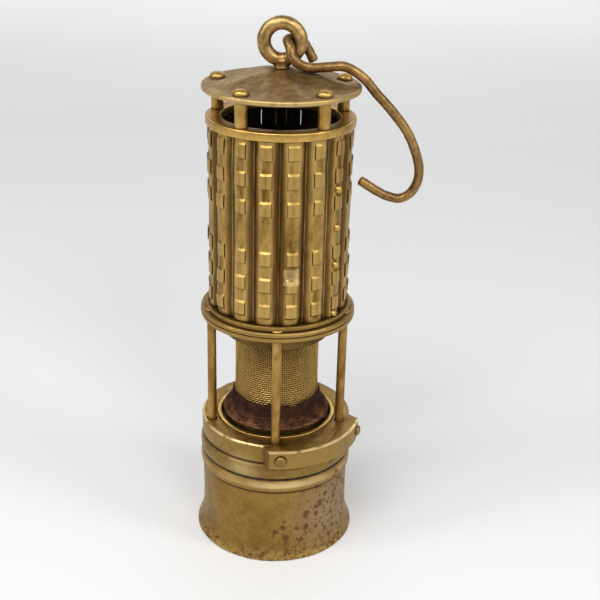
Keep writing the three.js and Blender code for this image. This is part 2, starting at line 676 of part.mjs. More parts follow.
function lockScrew() {
  const face = lugRadius + GAP / 2;
  return turned(
    [
      [0, collarRadius + 2],
      [SCREW_RADIUS, collarRadius + 2],
      [SCREW_RADIUS, face],
      [SCREW_HEAD_RADIUS, face],
      [SCREW_HEAD_RADIUS, face + SCREW_HEAD_HEIGHT * 0.35],
      [SCREW_HEAD_RADIUS * 0.7, face + SCREW_HEAD_HEIGHT * 0.85],
      [0, face + SCREW_HEAD_HEIGHT],
    ],
    ROD_SIDES,
  );
}
lockScrewAngles.forEach((angle, i) => {
  add(`lock_screw_${i + 1}`, outward(lockScrew(), angle, lockScrewHeight), RING_BRASS);
});

add("lock_pin", placed(disc(PIN_RADIUS, pinBottom, pinTop), pinPlace.x, pinPlace.y), STEEL);

const pawlBottom = (pocketBottom + pocketTop - PAWL_HEIGHT) / 2;

// The pawl is drawn clear of the collar: its nose stands just outside the ratchet notches.
function lockPawl() {
  const inner = pawlMiddle - PAWL_THICKNESS / 2;
  const outer = pawlMiddle + PAWL_THICKNESS / 2;
  const top = pawlBottom + PAWL_HEIGHT;
  const noseHalf = THREE.MathUtils.radToDeg(PAWL_NOSE_WIDTH / 2 / pawlMiddle);
  const noseFrom = PAWL_ANGLE - noseHalf;
  const arm = sector(inner, outer, noseFrom, PAWL_PIVOT_ANGLE, pawlBottom, top);
  const nose = sector(collarRadius + GAP, inner + 1, noseFrom, PAWL_ANGLE + noseHalf, pawlBottom, top);
  const boss = placed(disc(pawlBoss, pawlBottom, top), pinPlace.x, pinPlace.y);
  const hole = placed(disc(PIN_RADIUS + GAP, pawlBottom - 1, top + 1), pinPlace.x, pinPlace.y);
  return cut(join(arm, nose, boss), hole);
}
add("lock_pawl", lockPawl(), STEEL);

const leafInner = pawlMiddle + PAWL_THICKNESS / 2 + GAP;
const leafFrom = PAWL_ANGLE - 2;
const leafTo = PAWL_PIVOT_ANGLE - 8;
const leafOuter = leafInner + LEAF_THICKNESS;
const leaf = sector(leafInner, leafOuter, leafFrom, leafTo, pawlBottom, pawlBottom + PAWL_HEIGHT);
add("lock_spring", leaf, STEEL);

// ---- Pillars and middle ring ----
function pillar() {
  const headBottom = frameTop + GAP;
  return turned(
    [
      [0, ringTop - PILLAR_FOOT],
      [PILLAR_RADIUS, ringTop - PILLAR_FOOT],
      [PILLAR_RADIUS, headBottom],
      [PILLAR_HEAD_RADIUS, headBottom],
      [PILLAR_HEAD_RADIUS, headBottom + PILLAR_HEAD_HEIGHT * 0.5],
      [PILLAR_HEAD_RADIUS * 0.6, headBottom + PILLAR_HEAD_HEIGHT],
      [0, headBottom + PILLAR_HEAD_HEIGHT],
    ],
    ROD_SIDES,
  );
}
pillarAngles.forEach((angle, i) => {
  const place = polar(pillarCircle, angle);
  add(`pillar_${i + 1}`, placed(pillar(), place.x, place.y), PILLAR_BRASS);
});

const frameLedge = frameBottom + FRAME_LEDGE_HEIGHT;
const collarFlange = glassCollarRadius + COLLAR_FLANGE;

function frameRing() {
  const waist = frameBottom + FRAME_RING_HEIGHT * 0.5;
  let ring = turned([
    [frameInner, frameBottom],
    [frameRadius - 0.6, frameBottom],
    [frameRadius, frameBottom + 0.6],
    [frameRadius, waist - 0.4],
    [frameRadius - 0.5, waist],
    [frameRadius, waist + 0.4],
    [frameRadius, frameTop - 0.6],
    [frameRadius - 0.6, frameTop],
    [collarFlange + GAP, frameTop],
    [collarFlange + GAP, frameLedge],
    [frameInner, frameLedge],
  ]);
  const hole = disc(PILLAR_RADIUS + GAP, frameBottom - THROUGH, frameTop + THROUGH);
  for (const angle of pillarAngles) {
    const place = polar(pillarCircle, angle);
    ring = cut(ring, placed(hole, place.x, place.y));
  }
  return ring;
}
add("frame_top_ring", frameRing(), RING_BRASS);

function glassCollar() {
  const inner = glassCollarRadius - COLLAR_TUBE;
  const flangeBottom = frameLedge + GAP;
  return turned([
    [inner, frameBottom - COLLAR_LENGTH],
    [glassCollarRadius, frameBottom - COLLAR_LENGTH],
    [glassCollarRadius, flangeBottom],
    [collarFlange, flangeBottom],
    [collarFlange, flangeBottom + COLLAR_FLANGE_HEIGHT],
    [inner, flangeBottom + COLLAR_FLANGE_HEIGHT],
  ]);
}
add("glass_seat_collar", glassCollar(), RING_BRASS);

// ---- Bonnet ----
function bonnetRing() {
  const lipInner = lipRadius - LIP_WALL;
  let ring = turned([
    [lipRadius - LIP_WALL - BONNET_FLOOR_WIDTH, lipBottom],
    [lipRadius, lipBottom],
    [lipRadius, lipBottom + LIP_HEIGHT - 0.5],
    [lipRadius - 0.5, lipBottom + LIP_HEIGHT],
    [lipInner, lipBottom + LIP_HEIGHT],
    [lipInner, lipBottom + BONNET_FLOOR],
    [lipInner - BONNET_FLOOR_WIDTH, lipBottom + BONNET_FLOOR],
  ]);
  const notch = disc(PILLAR_HEAD_RADIUS + GAP, lipBottom - THROUGH, lipBottom + LIP_HEIGHT + THROUGH);
  for (const angle of pillarAngles) {
    const place = polar(pillarCircle, angle);
    ring = cut(ring, placed(notch, place.x, place.y));
  }
  return ring;
}
add("bonnet_base_ring", bonnetRing(), RING_BRASS);

// Outline of the corrugated sheet: rounded crests between V-shaped grooves, drawn in by an inset.
function corrugation(inset) {
  const points = [];
  for (let i = 0; i < FLUTE_COUNT * FLUTE_FACETS; i += 1) {
    const across = ((i % FLUTE_FACETS) / FLUTE_FACETS) * 2 - 1;
    const depth = FLUTE_DEPTH * Math.abs(across) ** FLUTE_SHARPNESS;
    const degrees = FLUTE_ANGLE + (360 / (FLUTE_COUNT * FLUTE_FACETS)) * i;
    points.push(polar(crestRadius - depth - inset, degrees));
  }
  return points;
}

const flutePitch = 360 / FLUTE_COUNT;
const fluteCrests = Array.from({ length: FLUTE_COUNT }, (_, i) => FLUTE_ANGLE + flutePitch * (i + 0.5));
// The rivets of the seam stand between louvres of each group, and half-way up the plain band.
const bandBottom = bonnetBottom + LOUVRE_FOOT + LOUVRE_HEIGHT + (LOUVRES_IN_GROUP - 1) * LOUVRE_PITCH;
const bandTop = bonnetTop - LOUVRE_TOP - LOUVRE_HEIGHT - (LOUVRES_IN_GROUP - 1) * LOUVRE_PITCH;
const rivetStep = (LOUVRE_PITCH + LOUVRE_HEIGHT) / 2;
const rivetHeights = [bandTop + rivetStep, (bandBottom + bandTop) / 2, bandBottom - rivetStep];

const louvreTops = [];
for (let row = 0; row < LOUVRES_IN_GROUP; row += 1) {
  louvreTops.push(bonnetTop - LOUVRE_TOP - row * LOUVRE_PITCH);
  louvreTops.push(bonnetBottom + LOUVRE_FOOT + LOUVRE_HEIGHT + row * LOUVRE_PITCH);
}

// The raised pad of one louvre, at the front, with sloping top and bottom ends.
function louvrePad(top) {
  const bottom = top - LOUVRE_HEIGHT;
  const root = crestRadius - BONNET_WALL / 2;
  const face = crestRadius + LOUVRE_RISE;
  const profile = [
    [root, top],
    [face, top - LOUVRE_SLOPE],
    [face, bottom + LOUVRE_SLOPE],
    [root, bottom],
  ];
  const shape = new THREE.Shape(profile.map(([radius, z]) => new THREE.Vector2(radius, z)));
  const pad = new THREE.ExtrudeGeometry(shape, { depth: LOUVRE_WIDTH, bevelEnabled: false });
  pad.translate(0, 0, -LOUVRE_WIDTH / 2).rotateX(Math.PI / 2).rotateZ(-Math.PI / 2);
  return solid(pad);
}

function bonnetShell() {
  const outline = new THREE.Shape(corrugation(0).map((p) => new THREE.Vector2(p.x, p.y)));
  outline.holes.push(new THREE.Path(corrugation(BONNET_WALL).map((p) => new THREE.Vector2(p.x, p.y))));
  const sheet = new THREE.ExtrudeGeometry(outline, { depth: BONNET_HEIGHT, bevelEnabled: false });
  let shell = solid(sheet.translate(0, 0, bonnetBottom));
  const pads = [];
  for (const top of louvreTops) {
    const pad = louvrePad(top);
    for (const angle of fluteCrests) pads.push(pad.rotate([0, 0, angle]));
  }
  shell = join(shell, wasm.Manifold.union(pads));
  const hole = disc(RIVET_RADIUS + GAP, crestRadius - 4, crestRadius + 2, 8);
  for (const height of rivetHeights) shell = cut(shell, outward(hole, RIVET_ANGLE, height));
  return shell;
}
add("bonnet_shell", bonnetShell(), BONNET_BRASS);

const rivet = turned(
  [
    [0, crestRadius - 2.5],
    [RIVET_RADIUS, crestRadius - 2.5],
    [RIVET_RADIUS, crestRadius + GAP / 3],
    [RIVET_HEAD_RADIUS, crestRadius + GAP / 3],
    [RIVET_HEAD_RADIUS * 0.6, crestRadius + GAP / 3 + RIVET_HEAD_HEIGHT],
    [0, crestRadius + GAP / 3 + RIVET_HEAD_HEIGHT],
  ],
  8,
);
rivetHeights.forEach((height, i) => {
  add(`bonnet_rivet_${i + 1}`, outward(rivet, RIVET_ANGLE, height), BONNET_BRASS);
});

// ---- Top ring, posts and cap ----
const postAngles = Array.from({ length: PILLAR_COUNT }, (_, i) => POST_ANGLE + (360 / PILLAR_COUNT) * i);

function drilled(piece, bottom, top) {
  const hole = disc(POST_SPIGOT_RADIUS + GAP, bottom - THROUGH, top + THROUGH);
  return postAngles.reduce((left, angle) => {
    const place = polar(postCircle, angle);
    return cut(left, placed(hole, place.x, place.y));
  }, piece);
}

function topRing() {
  const edge = 0.6;
  const ring = turned([
    [topRingInner, topRingBottom],
    [topRingRadius - edge, topRingBottom],
    [topRingRadius, topRingBottom + edge],
    [topRingRadius, topRingTop - edge],
    [topRingRadius - edge, topRingTop],
    [topRingInner, topRingTop],
  ]);
  return drilled(ring, topRingBottom, topRingTop);
}
add("bonnet_top_ring", topRing(), RING_BRASS);

function capPost() {
  const barrelBottom = topRingTop + GAP;
  const barrelTop = barrelBottom + POST_LENGTH;
  const headBottom = capTop + GAP;
  return turned(
    [
      [0, topRingBottom + GAP],
      [POST_SPIGOT_RADIUS, topRingBottom + GAP],
      [POST_SPIGOT_RADIUS, barrelBottom],
      [POST_RADIUS, barrelBottom],
      [POST_RADIUS, barrelTop],
      [POST_SPIGOT_RADIUS, barrelTop],
      [POST_SPIGOT_RADIUS, headBottom],
      [POST_HEAD_RADIUS, headBottom],
      [POST_HEAD_RADIUS, headBottom + POST_HEAD_HEIGHT * 0.6],
      [POST_HEAD_RADIUS * 0.75, headBottom + POST_HEAD_HEIGHT],
      [0, headBottom + POST_HEAD_HEIGHT],
    ],
    ROD_SIDES,
  );
}
postAngles.forEach((angle, i) => {
  const place = polar(postCircle, angle);
  add(`cap_post_${i + 1}`, placed(capPost(), place.x, place.y), RING_BRASS);
});

// Height of the dome above the rim's flat, from 0 at the land to the full rise at the crown.
function domeHeight(radius) {
  const span = capRadius - CAP_LAND_WIDTH - DOME_CROWN_RADIUS;
  const share = THREE.MathUtils.clamp((radius - DOME_CROWN_RADIUS) / span, 0, 1);
  return DOME_RISE * (1 - share) * (1 + 0.7 * share * (1 - share));
}

function cap() {
  const land = capRadius - CAP_LAND_WIDTH;
  const steps = 4;
  const stations = Array.from({ length: steps + 1 }, (_, i) => {
    return DOME_CROWN_RADIUS + ((land - DOME_CROWN_RADIUS) * i) / steps;
  });
  const bore = EYE_SHANK_RADIUS + GAP;
  const top = stations.map((radius) => [radius, capTop + domeHeight(radius)]);
  const under = stations.map((radius) => [radius, capTop + domeHeight(radius) - DOME_WALL]);
  const whole = turned([
    [bore, crown],
    ...top,
    [capRadius - 0.8, capTop],
    [capRadius, capTop - 0.8],
    [capRadius, capBottom],
    [land, capBottom],
    ...under.toReversed().slice(1),
    [bore, crown - DOME_WALL],
  ]);
  return drilled(whole, capBottom, capTop);
}
add("cap", cap(), CAP_BRONZE);

// ---- Gauze ----
// A gauze is an open cone closed by a flat top: its profile runs from the axis, round the wall and back.
function gauzeCone(bottomRadius, bottom, top) {
  const topRadius = bottomRadius - GAUZE_TAPER * (top - bottom);
  return turned([
    [0, top],
    [topRadius, top],
    [bottomRadius, bottom],
    [bottomRadius - GAUZE_WALL, bottom],
    [topRadius - GAUZE_WALL, top - GAUZE_WALL],
    [0, top - GAUZE_WALL],
  ]);
}
const gauzeTop = gauzeBottom + GAUZE_HEIGHT;
add("gauze_outer", gauzeCone(gauzeRadius, gauzeBottom, gauzeTop), GAUZE_BRASS);
const innerCone = gauzeCone(gauzeRadius - GAUZE_SPACING, gauzeBottom, gauzeTop - GAUZE_SPACING);
add("gauze_inner", innerCone, GAUZE_BRASS);

function gauzeFoot() {
  const top = gauzeBottom + GAUZE_FOOT_HEIGHT;
  const inner = (z) => gauzeRadius - GAUZE_TAPER * (z - gauzeBottom) + GAP;
  return turned([
    [inner(gauzeBottom), gauzeBottom],
    [gauzeFootRadius, gauzeBottom],
    [gauzeFootRadius, gauzeBottom + 1.2],
    [gauzeFootRadius - 2.4, gauzeBottom + 2.8],
    [inner(gauzeBottom + 6) + GAUZE_FOOT_WALL, gauzeBottom + 6],
    [inner(top) + GAUZE_FOOT_WALL, top],
    [inner(top), top],
  ]);
}
add("gauze_foot_ring", gauzeFoot(), GAUZE_RUST);

// ---- Eye and hook ----
function eyeBolt() {
  const ring = solid(new THREE.TorusGeometry(EYE_RADIUS, EYE_SECTION, 10, 24));
  const upright = ring.rotate([90, 0, 0]).translate([0, 0, eyeHeight]);
  const throat = eyeHeight - EYE_RADIUS;
  const stem = turned(
    [
      [0, crown - EYE_SHANK_LENGTH],
      [EYE_SHANK_RADIUS, crown - EYE_SHANK_LENGTH],
      [EYE_SHANK_RADIUS, crown + GAP],
      [EYE_NECK_RADIUS, crown + GAP],
      [EYE_NECK_RADIUS, throat - EYE_SECTION + 0.4],
      [EYE_NECK_RADIUS - 0.6, throat],
      [0, throat],
    ],
    ROD_SIDES,
  );
  return join(upright, stem);
}
add("eye_bolt", eyeBolt(), CAP_BRONZE);
const nutTop = crown - DOME_WALL - GAP;
const nutBottom = nutTop - NUT_HEIGHT;
const nutBore = disc(EYE_SHANK_RADIUS + GAP, nutBottom - THROUGH, nutTop + THROUGH);
add("eye_nut", cut(disc(NUT_RADIUS, nutBottom, nutTop, 6), nutBore), STEEL);

// The wire starts as a stub behind the eye, passes through it, turns down in front and runs out over the cap.
const loopRadius = EYE_SECTION + WIRE_RADIUS + WIRE_PLAY;

// A point of the loop, turned by an angle round the eye's own section: 0 is inside the eye, 90 behind it.
function loopPoint(turn) {
  const s = Math.sin(THREE.MathUtils.degToRad(turn));
  const c = Math.cos(THREE.MathUtils.degToRad(turn));
  const lean = THREE.MathUtils.degToRad(6 + 23 * s - 36 * s * s);
  const reach = EYE_RADIUS - loopRadius * c;
  return new THREE.Vector3(reach * Math.cos(lean), loopRadius * s, eyeHeight + reach * Math.sin(lean));
}

// The arm clears the dome and the rivet heads; its drop clears the cap's rim, and the tip the top ring.
const armHeight = crown + 1.6;
const hookOut = capRadius + 31.2; // the furthest that the wire's centre reaches
const hookFoot = crown - 65.8; // the lowest
const tipOut = topRingRadius + 3.4;
const hookStations = [
  new THREE.Vector3(15.6, 6.4, crown + 3.2),
  new THREE.Vector3(13.4, 6.5, crown + 7.4),
  ...[98, 70, 40, 10, -20, -50, -85].map(loopPoint),
  new THREE.Vector3(9.6, -5.8, crown + 3),
  new THREE.Vector3(14.5, -4.2, armHeight),
  new THREE.Vector3(22, -1.8, armHeight),
  new THREE.Vector3(31.5, 0, armHeight),
  new THREE.Vector3(capRadius + 0.6, 0, crown - 3.8),
  new THREE.Vector3(capRadius + 7, 0, crown - 10.9),
  new THREE.Vector3(capRadius + 15, 0, crown - 19.3),
  new THREE.Vector3(capRadius + 24, 0, crown - 30.8),
  new THREE.Vector3(hookOut - 2.2, 0, crown - 41.5),
  new THREE.Vector3(hookOut, 0, crown - 50),
  new THREE.Vector3(hookOut - 0.6, 0, crown - 57),
  new THREE.Vector3(hookOut - 3.6, 0, crown - 62.7),
  new THREE.Vector3(hookOut - 9, 0, hookFoot),
  new THREE.Vector3(hookOut - 15.8, 0, hookFoot + 1.1),
  new THREE.Vector3(tipOut + 7.5, 0, hookFoot + 4.3),
  new THREE.Vector3(tipOut, 0, hookFoot + 9),
];
const hookCurve = new THREE.CatmullRomCurve3(hookStations, false, "centripetal");
add("hook", wire(hookCurve, WIRE_RADIUS, WIRE_SIDES, HOOK_STEPS), HOOK_BRONZE);

export default lamp;
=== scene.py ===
"""The looks of a miner's safety lamp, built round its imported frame."""

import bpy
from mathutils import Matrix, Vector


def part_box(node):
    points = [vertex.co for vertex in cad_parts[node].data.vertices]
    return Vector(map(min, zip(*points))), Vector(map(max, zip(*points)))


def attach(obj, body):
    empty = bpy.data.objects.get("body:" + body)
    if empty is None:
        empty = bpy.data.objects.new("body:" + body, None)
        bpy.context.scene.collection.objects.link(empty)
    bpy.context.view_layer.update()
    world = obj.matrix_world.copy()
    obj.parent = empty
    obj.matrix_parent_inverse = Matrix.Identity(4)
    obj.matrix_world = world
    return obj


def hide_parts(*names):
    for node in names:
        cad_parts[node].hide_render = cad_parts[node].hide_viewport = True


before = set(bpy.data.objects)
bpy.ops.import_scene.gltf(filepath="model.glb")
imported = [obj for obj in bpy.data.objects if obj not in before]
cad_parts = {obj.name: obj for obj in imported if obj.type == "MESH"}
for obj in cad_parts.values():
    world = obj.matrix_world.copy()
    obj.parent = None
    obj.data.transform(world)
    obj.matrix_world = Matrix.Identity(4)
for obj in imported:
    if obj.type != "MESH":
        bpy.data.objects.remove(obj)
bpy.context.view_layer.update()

import math
from math import cos, exp, pi, radians, sin

import bmesh
import bpy
from mathutils import Matrix, Vector, noise

MM = 0.001  # lengths below are in millimetres, and become metres in `make`
SIDES = 144  # faces round a large turned piece
ROD_SIDES = 40  # round a rod, screw or rivet
CUT_SIDES = 32  # round a drilled hole
GAP = 0.3  # clearance between neighbouring pieces
DOME_ANGLES = (0, 0.3, 0.6, 0.9, 1.2, 1.4)  # steps up the side of a rounded head, in radians

# ---- Camera, floor and lights ----
CAMERA_PLACE = (0.012, -0.5456, 0.3787)
CAMERA_PITCH = 23.71  # degrees below the horizon
CAMERA_ROLL = 1.51
CAMERA_LENS = 66.0
CAMERA_SENSOR = 36.0
FLOOR_SIZE = 30000.0
FLOOR_DROP = 0.3  # below the foot
WORLD_STRENGTH = 0.41

# ---- Shapes ----
BEAD_HEIGHT = 6.8
BEAD_PROUD = 1.3
FOOT_HEIGHT = 15.0
FOOT_FLARE = 3.8
FONT_WALL = 1.2
THREAD_LEAD = 2.5  # the same as the frame's coupling between turning and lifting
THREAD_DEPTH = 0.5
FLUTES = 17
FLUTE_DEPTH = 2.5
FLUTE_START = 1.3  # degrees from the front to the first groove
FLUTE_SHARPNESS = 2.6
SHEET = 0.45  # thickness of the bonnet's sheet
LOUVRE_HALF = 0.42  # of half a flute, from the middle of a louvre to its edge
SLIT_HALF = 0.443  # the same, to the far side of the slit
LOUVRE_RISE = 0.75
LOUVRE_HEIGHT = 8.3
LOUVRE_SLOPE = 1.0
LOUVRE_PITCH = 14.2
LOUVRE_TOP = 1.5
LOUVRE_FOOT = 3.7
PRESSED_AT, PRESSED_HEIGHT = 12.0, 167.0  # a facet knocked in: degrees and height of its middle
PRESSED_WIDE, PRESSED_TALL, PRESSED_DEEP = 6.5, 5.5, 3.0  # its half-widths and depth
SEAM_RIVET, FOOT_RIVET, FOOT_RIVET_AT = 2.1, 1.9, 52.6  # radii, and degrees
SPINDLE_BORE = 1.55  # for the two keys' shafts
SCREW_BORE = 1.8  # for the lock's screws
KEY_WELL = 10.5
FILLER_CUP = 8.0
WARP_SCALE = 0.06
SHARP = 42  # degrees from which an edge isn't smoothed over
GAUZE_WIRES = 130
GAUZE_ROWS = 68
GAUZE_WIRE = 0.25
GAUZE_TAPER = 0.071
EYE_RADIUS = 9.0
EYE_SECTION = 3.5
EYE_VOXEL = 0.42  # the eye and its neck are melted together on a grid of this size
HOOK_WIRE = 2.45


# ---- Measures taken from the frame ----
def span(node):
    """Lowest and highest point of a node."""
    low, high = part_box(node)
    return low.z / MM, high.z / MM


def reach(node):
    """Outer radius of a node turned about the axis."""
    return -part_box(node)[0].x / MM


def middle(node):
    low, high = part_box(node)
    return (low + high) / (2 * MM)


def bearing(point):
    """Degrees round from the front, towards the right."""
    return math.degrees(math.atan2(point.x, -point.y))


def facing(node):
    """The bearing and height of a node that points outwards."""
    place = middle(node)
    return bearing(place), place.z


def polar(radius, degrees, z=0.0):
    angle = radians(degrees)
    return Vector((radius * sin(angle), -radius * cos(angle), z))


WALL = reach("font_gasket") - 0.5
FONT_TOP = span("font_shell")[1]
DECK = span("burner_plug")[0] + 4
RING_BOTTOM, RING_TOP = span("base_ring")
FRAME_BOTTOM, FRAME_TOP = span("frame_top_ring")
LIP_BOTTOM, LIP_TOP = span("bonnet_base_ring")
BONNET_BOTTOM, BONNET_TOP = span("bonnet_shell")
CREST = reach("bonnet_base_ring") - 2.0
TOP_RING_BOTTOM, TOP_RING_TOP = span("bonnet_top_ring")
CAP_BOTTOM, CROWN = span("cap")
CAP_RIM = CAP_BOTTOM + 2.6
CAP_RADIUS = reach("cap")
TOP_RING_RADIUS = reach("bonnet_top_ring")
EYE_HEIGHT = span("eye_bolt")[1] - EYE_RADIUS - EYE_SECTION
GAUZE_BOTTOM, GAUZE_TOP = span("gauze_outer")
PILLARS = [middle(f"pillar_{i}") for i in range(1, 6)]
POSTS = [middle(f"cap_post_{i}") for i in range(1, 6)]
LOCK_SCREWS = ("lock_screw_1", "lock_screw_2")
LUG_OUTER = 47.2  # the lock lug: its radius, foot, and from and to in degrees
LUG_BOTTOM = RING_TOP - 10.7
LUG_FROM, LUG_TO = -2.7, 79.0


# ---- Shapes as (points, faces) ----
def softened(profile, radius, closed):
    """The profile with each sharp corner rounded off."""
    count = len(profile)
    points = [Vector(p) for p in profile]
    out = []
    for i, here in enumerate(points):
        if not closed and i in (0, count - 1):
            out.append(here)
            continue
        back, on = points[i - 1] - here, points[(i + 1) % count] - here
        if back.length < 1e-6 or on.length < 1e-6 or abs(back.angle(on)) > radians(155):
            out.append(here)
            continue
        step = min(radius, 0.4 * back.length, 0.4 * on.length)
        start, end = here + back.normalized() * step, here + on.normalized() * step
        for t in (0.0, 0.25, 0.5, 0.75, 1.0):
            out.append(start * (1 - t) ** 2 + here * 2 * t * (1 - t) + end * t * t)
    return out


def lathe(profile, sides=SIDES, soft=0.0, shift=None):
    """Turned from (radius, height) points: a closed loop, or a line from axis to axis.
    shift(radius, height, degrees) may return a new radius and height for each point."""
    line = profile[0][0] == 0 and profile[-1][0] == 0
    points = softened(profile, soft, not line) if soft else [Vector(p) for p in profile]
    verts, rings = [], []
    for radius, height in points:
        if radius < 1e-6:
            rings.append([len(verts)])
            verts.append(Vector((0, 0, height)))
            continue
        ring = []
        for k in range(sides):
            degrees = 360 * k / sides
            r, z = shift(radius, height, degrees) if shift else (radius, height)
            ring.append(len(verts))
            verts.append(polar(r, degrees, z))
        rings.append(ring)
    pairs = list(zip(rings, rings[1:]))
    if not line:
        pairs.append((rings[-1], rings[0]))
    faces = []
    for low, high in pairs:
        for k in range(sides):
            m = (k + 1) % sides
            corners = (low[k % len(low)], low[m % len(low)], high[m % len(high)], high[k % len(high)])
            faces.append(tuple(dict.fromkeys(corners)))
    return verts, [f for f in faces if len(f) > 2]


def prism(outline, bottom, top):
    """A straight solid over an outline of points."""
    count = len(outline)
    verts = [Vector((p[0], p[1], z)) for z in (bottom, top) for p in outline]
    sides = [(i, (i + 1) % count, count + (i + 1) % count, count + i) for i in range(count)]
    return verts, [tuple(reversed(range(count))), tuple(range(count, 2 * count)), *sides]


def rod(radius, bottom, top, sides=CUT_SIDES):
    return lathe([(0, bottom), (radius, bottom), (radius, top), (0, top)], sides)


def arc(radius, start, end, steps):
    return [polar(radius, start + (end - start) * i / steps) for i in range(steps + 1)]


def sector(inner, outer, start, end, bottom, top, splay=0.0, steps=36):
    return prism(arc(outer, start, end, steps) + arc(inner, end + splay, start - splay, steps), bottom, top)


def block(x0, x1, y0, y1, z0, z1):
    return prism([(x0, y0), (x1, y0), (x1, y1), (x0, y1)], z0, z1)


def placed(shape, place):
    """A shape made on the axis, moved across to a place."""
    offset = Vector((place[0], place[1], 0))
    return [v + offset for v in shape[0]], shape[1]


def outward(shape, degrees, height):
    """A shape made upright on the axis, laid down to point outwards."""
    turn = Matrix.Rotation(radians(degrees), 3, "Z") @ Matrix.Rotation(radians(90), 3, "X")
    return [turn @ v + Vector((0, 0, height)) for v in shape[0]], shape[1]


def together(shapes):
    verts, faces = [], []
    for points, polygons in shapes:
        start = len(verts)
        verts += points
        faces += [tuple(start + i for i in f) for f in polygons]
    return verts, faces


def quads(rows, columns, closed=False):
    """The faces between rings of points, and from the last ring to the first if closed."""
    faces = []
    for i in range(rows if closed else rows - 1):
        j = (i + 1) % rows
        for k in range(columns):
            m = (k + 1) % columns
            faces.append((i * columns + k, i * columns + m, j * columns + m, j * columns + k))
    return faces


def dome(radius, base, rise, angles=DOME_ANGLES, power=1.0):
    """The side of a rounded head, from its rim towards the axis."""
    return [(radius * cos(a) ** power, base + rise * sin(a)) for a in angles]


def holes(places, radius, bottom, top):
    return [placed(rod(radius, bottom, top), p) for p in places]


def swept(path, radius, sides, rounding, rough):
    """A round wire along points, uneven by `rough`, its two ends rounded over."""
    end = len(path) - 1
    tangents = [(path[min(i + 1, end)] - path[max(i - 1, 0)]).normalized() for i in range(end + 1)]
    normal = tangents[0].orthogonal().normalized()
    verts = []
    wire = [(place, along, radius) for place, along in zip(path, tangents)]
    head, tail = tangents[0], tangents[-1]
    over = [(0.0, 1 - rounding), (0.3 * rounding, 1 - 0.35 * rounding), (0.7 * rounding, 1.0)]
    first = [(path[0] + head * radius * (d - 0.7 * rounding), head, radius * s) for d, s in over]
    last = [(path[-1] - tail * radius * (d - 0.7 * rounding), tail, radius * s) for d, s in reversed(over)]
    for place, along, size in first + wire[1:-1] + last:
        normal = (normal - along * normal.dot(along)).normalized()
        across = along.cross(normal)
        for k in range(sides):
            angle = 2 * pi * k / sides
            spoke = normal * cos(angle) + across * sin(angle)
            dent = rough * noise.noise((place + spoke * radius) * 0.8)
            verts.append(place + spoke * (size + dent))
    rows = len(verts) // sides
    caps = [tuple(reversed(range(sides))), tuple(range((rows - 1) * sides, rows * sides))]
    return verts, caps + quads(rows, sides)


# ---- Objects ----
def linked(name, data):
    obj = bpy.data.objects.new(name, data)
    bpy.context.scene.collection.objects.link(obj)
    return obj


def bare(name, shape):
    mesh = bpy.data.meshes.new(name)
    mesh.from_pydata([Vector(v) * MM for v in shape[0]], [], shape[1])
    mesh.update()
    return linked(name, mesh)


def applied(obj):
    """Turns the object's modifiers into plain mesh."""
    graph = bpy.context.evaluated_depsgraph_get()
    mesh = bpy.data.meshes.new_from_object(obj.evaluated_get(graph))
    old = obj.data
    obj.modifiers.clear()
    obj.data = mesh
    bpy.data.meshes.remove(old)
    return obj


def combined(obj, shape, operation):
    """A boolean of the object with a closed shape."""
    other = bare("tool", shape)
    for o in (obj, other):
        tidy_normals(o.data)
    step = obj.modifiers.new("boolean", "BOOLEAN")
    step.operation = operation
    step.object = other
    step.solver = "EXACT"
    applied(obj)
    mesh = other.data
    bpy.data.objects.remove(other)
    bpy.data.meshes.remove(mesh)


def tidy_normals(mesh):
    work = bmesh.new()
    work.from_mesh(mesh)
    bmesh.ops.recalc_face_normals(work, faces=work.faces)
    work.to_mesh(mesh)
    work.free()


def warped(obj, amount, scale):
    """Small uneven swellings and dents, in millimetres over a pitch of 1 / scale millimetres."""
    for v in obj.data.vertices:
        p = v.co / MM
        push = noise.noise(p * scale) * amount
        side = Vector((p.x, p.y, 0))
        if side.length > 1:
            v.co += side.normalized() * push * MM


def make(name, shape, look, nodes=(), body="cage", add=(), cut=(), bevel=0.0, warp=0.0,
        sharp=SHARP):
    """A finished piece of the lamp from a shape: joined, cut, bevelled, warped and given its material."""
    obj = bare(name, shape)
    for extra in add:
        combined(obj, extra, "UNION")
    for tool in cut:
        combined(obj, tool, "DIFFERENCE")
    tidy_normals(obj.data)
    if bevel:
        edge = obj.modifiers.new("bevel", "BEVEL")
        edge.width = bevel * MM
        edge.segments = 2
        edge.limit_method = "ANGLE"
        edge.angle_limit = radians(40)
        applied(obj)
    if warp:
        warped(obj, warp, WARP_SCALE)
    return dressed(obj, look, body, nodes, sharp)


def dressed(obj, look, body, nodes=(), sharp=SHARP):
    mesh = obj.data
    mesh.polygons.foreach_set("use_smooth", [True] * len(mesh.polygons))
    mesh.set_sharp_from_angle(angle=radians(sharp))
    if not mesh.materials:
        mesh.materials.append(look)
    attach(obj, body)
    if nodes:
        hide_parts(*nodes)
    return obj


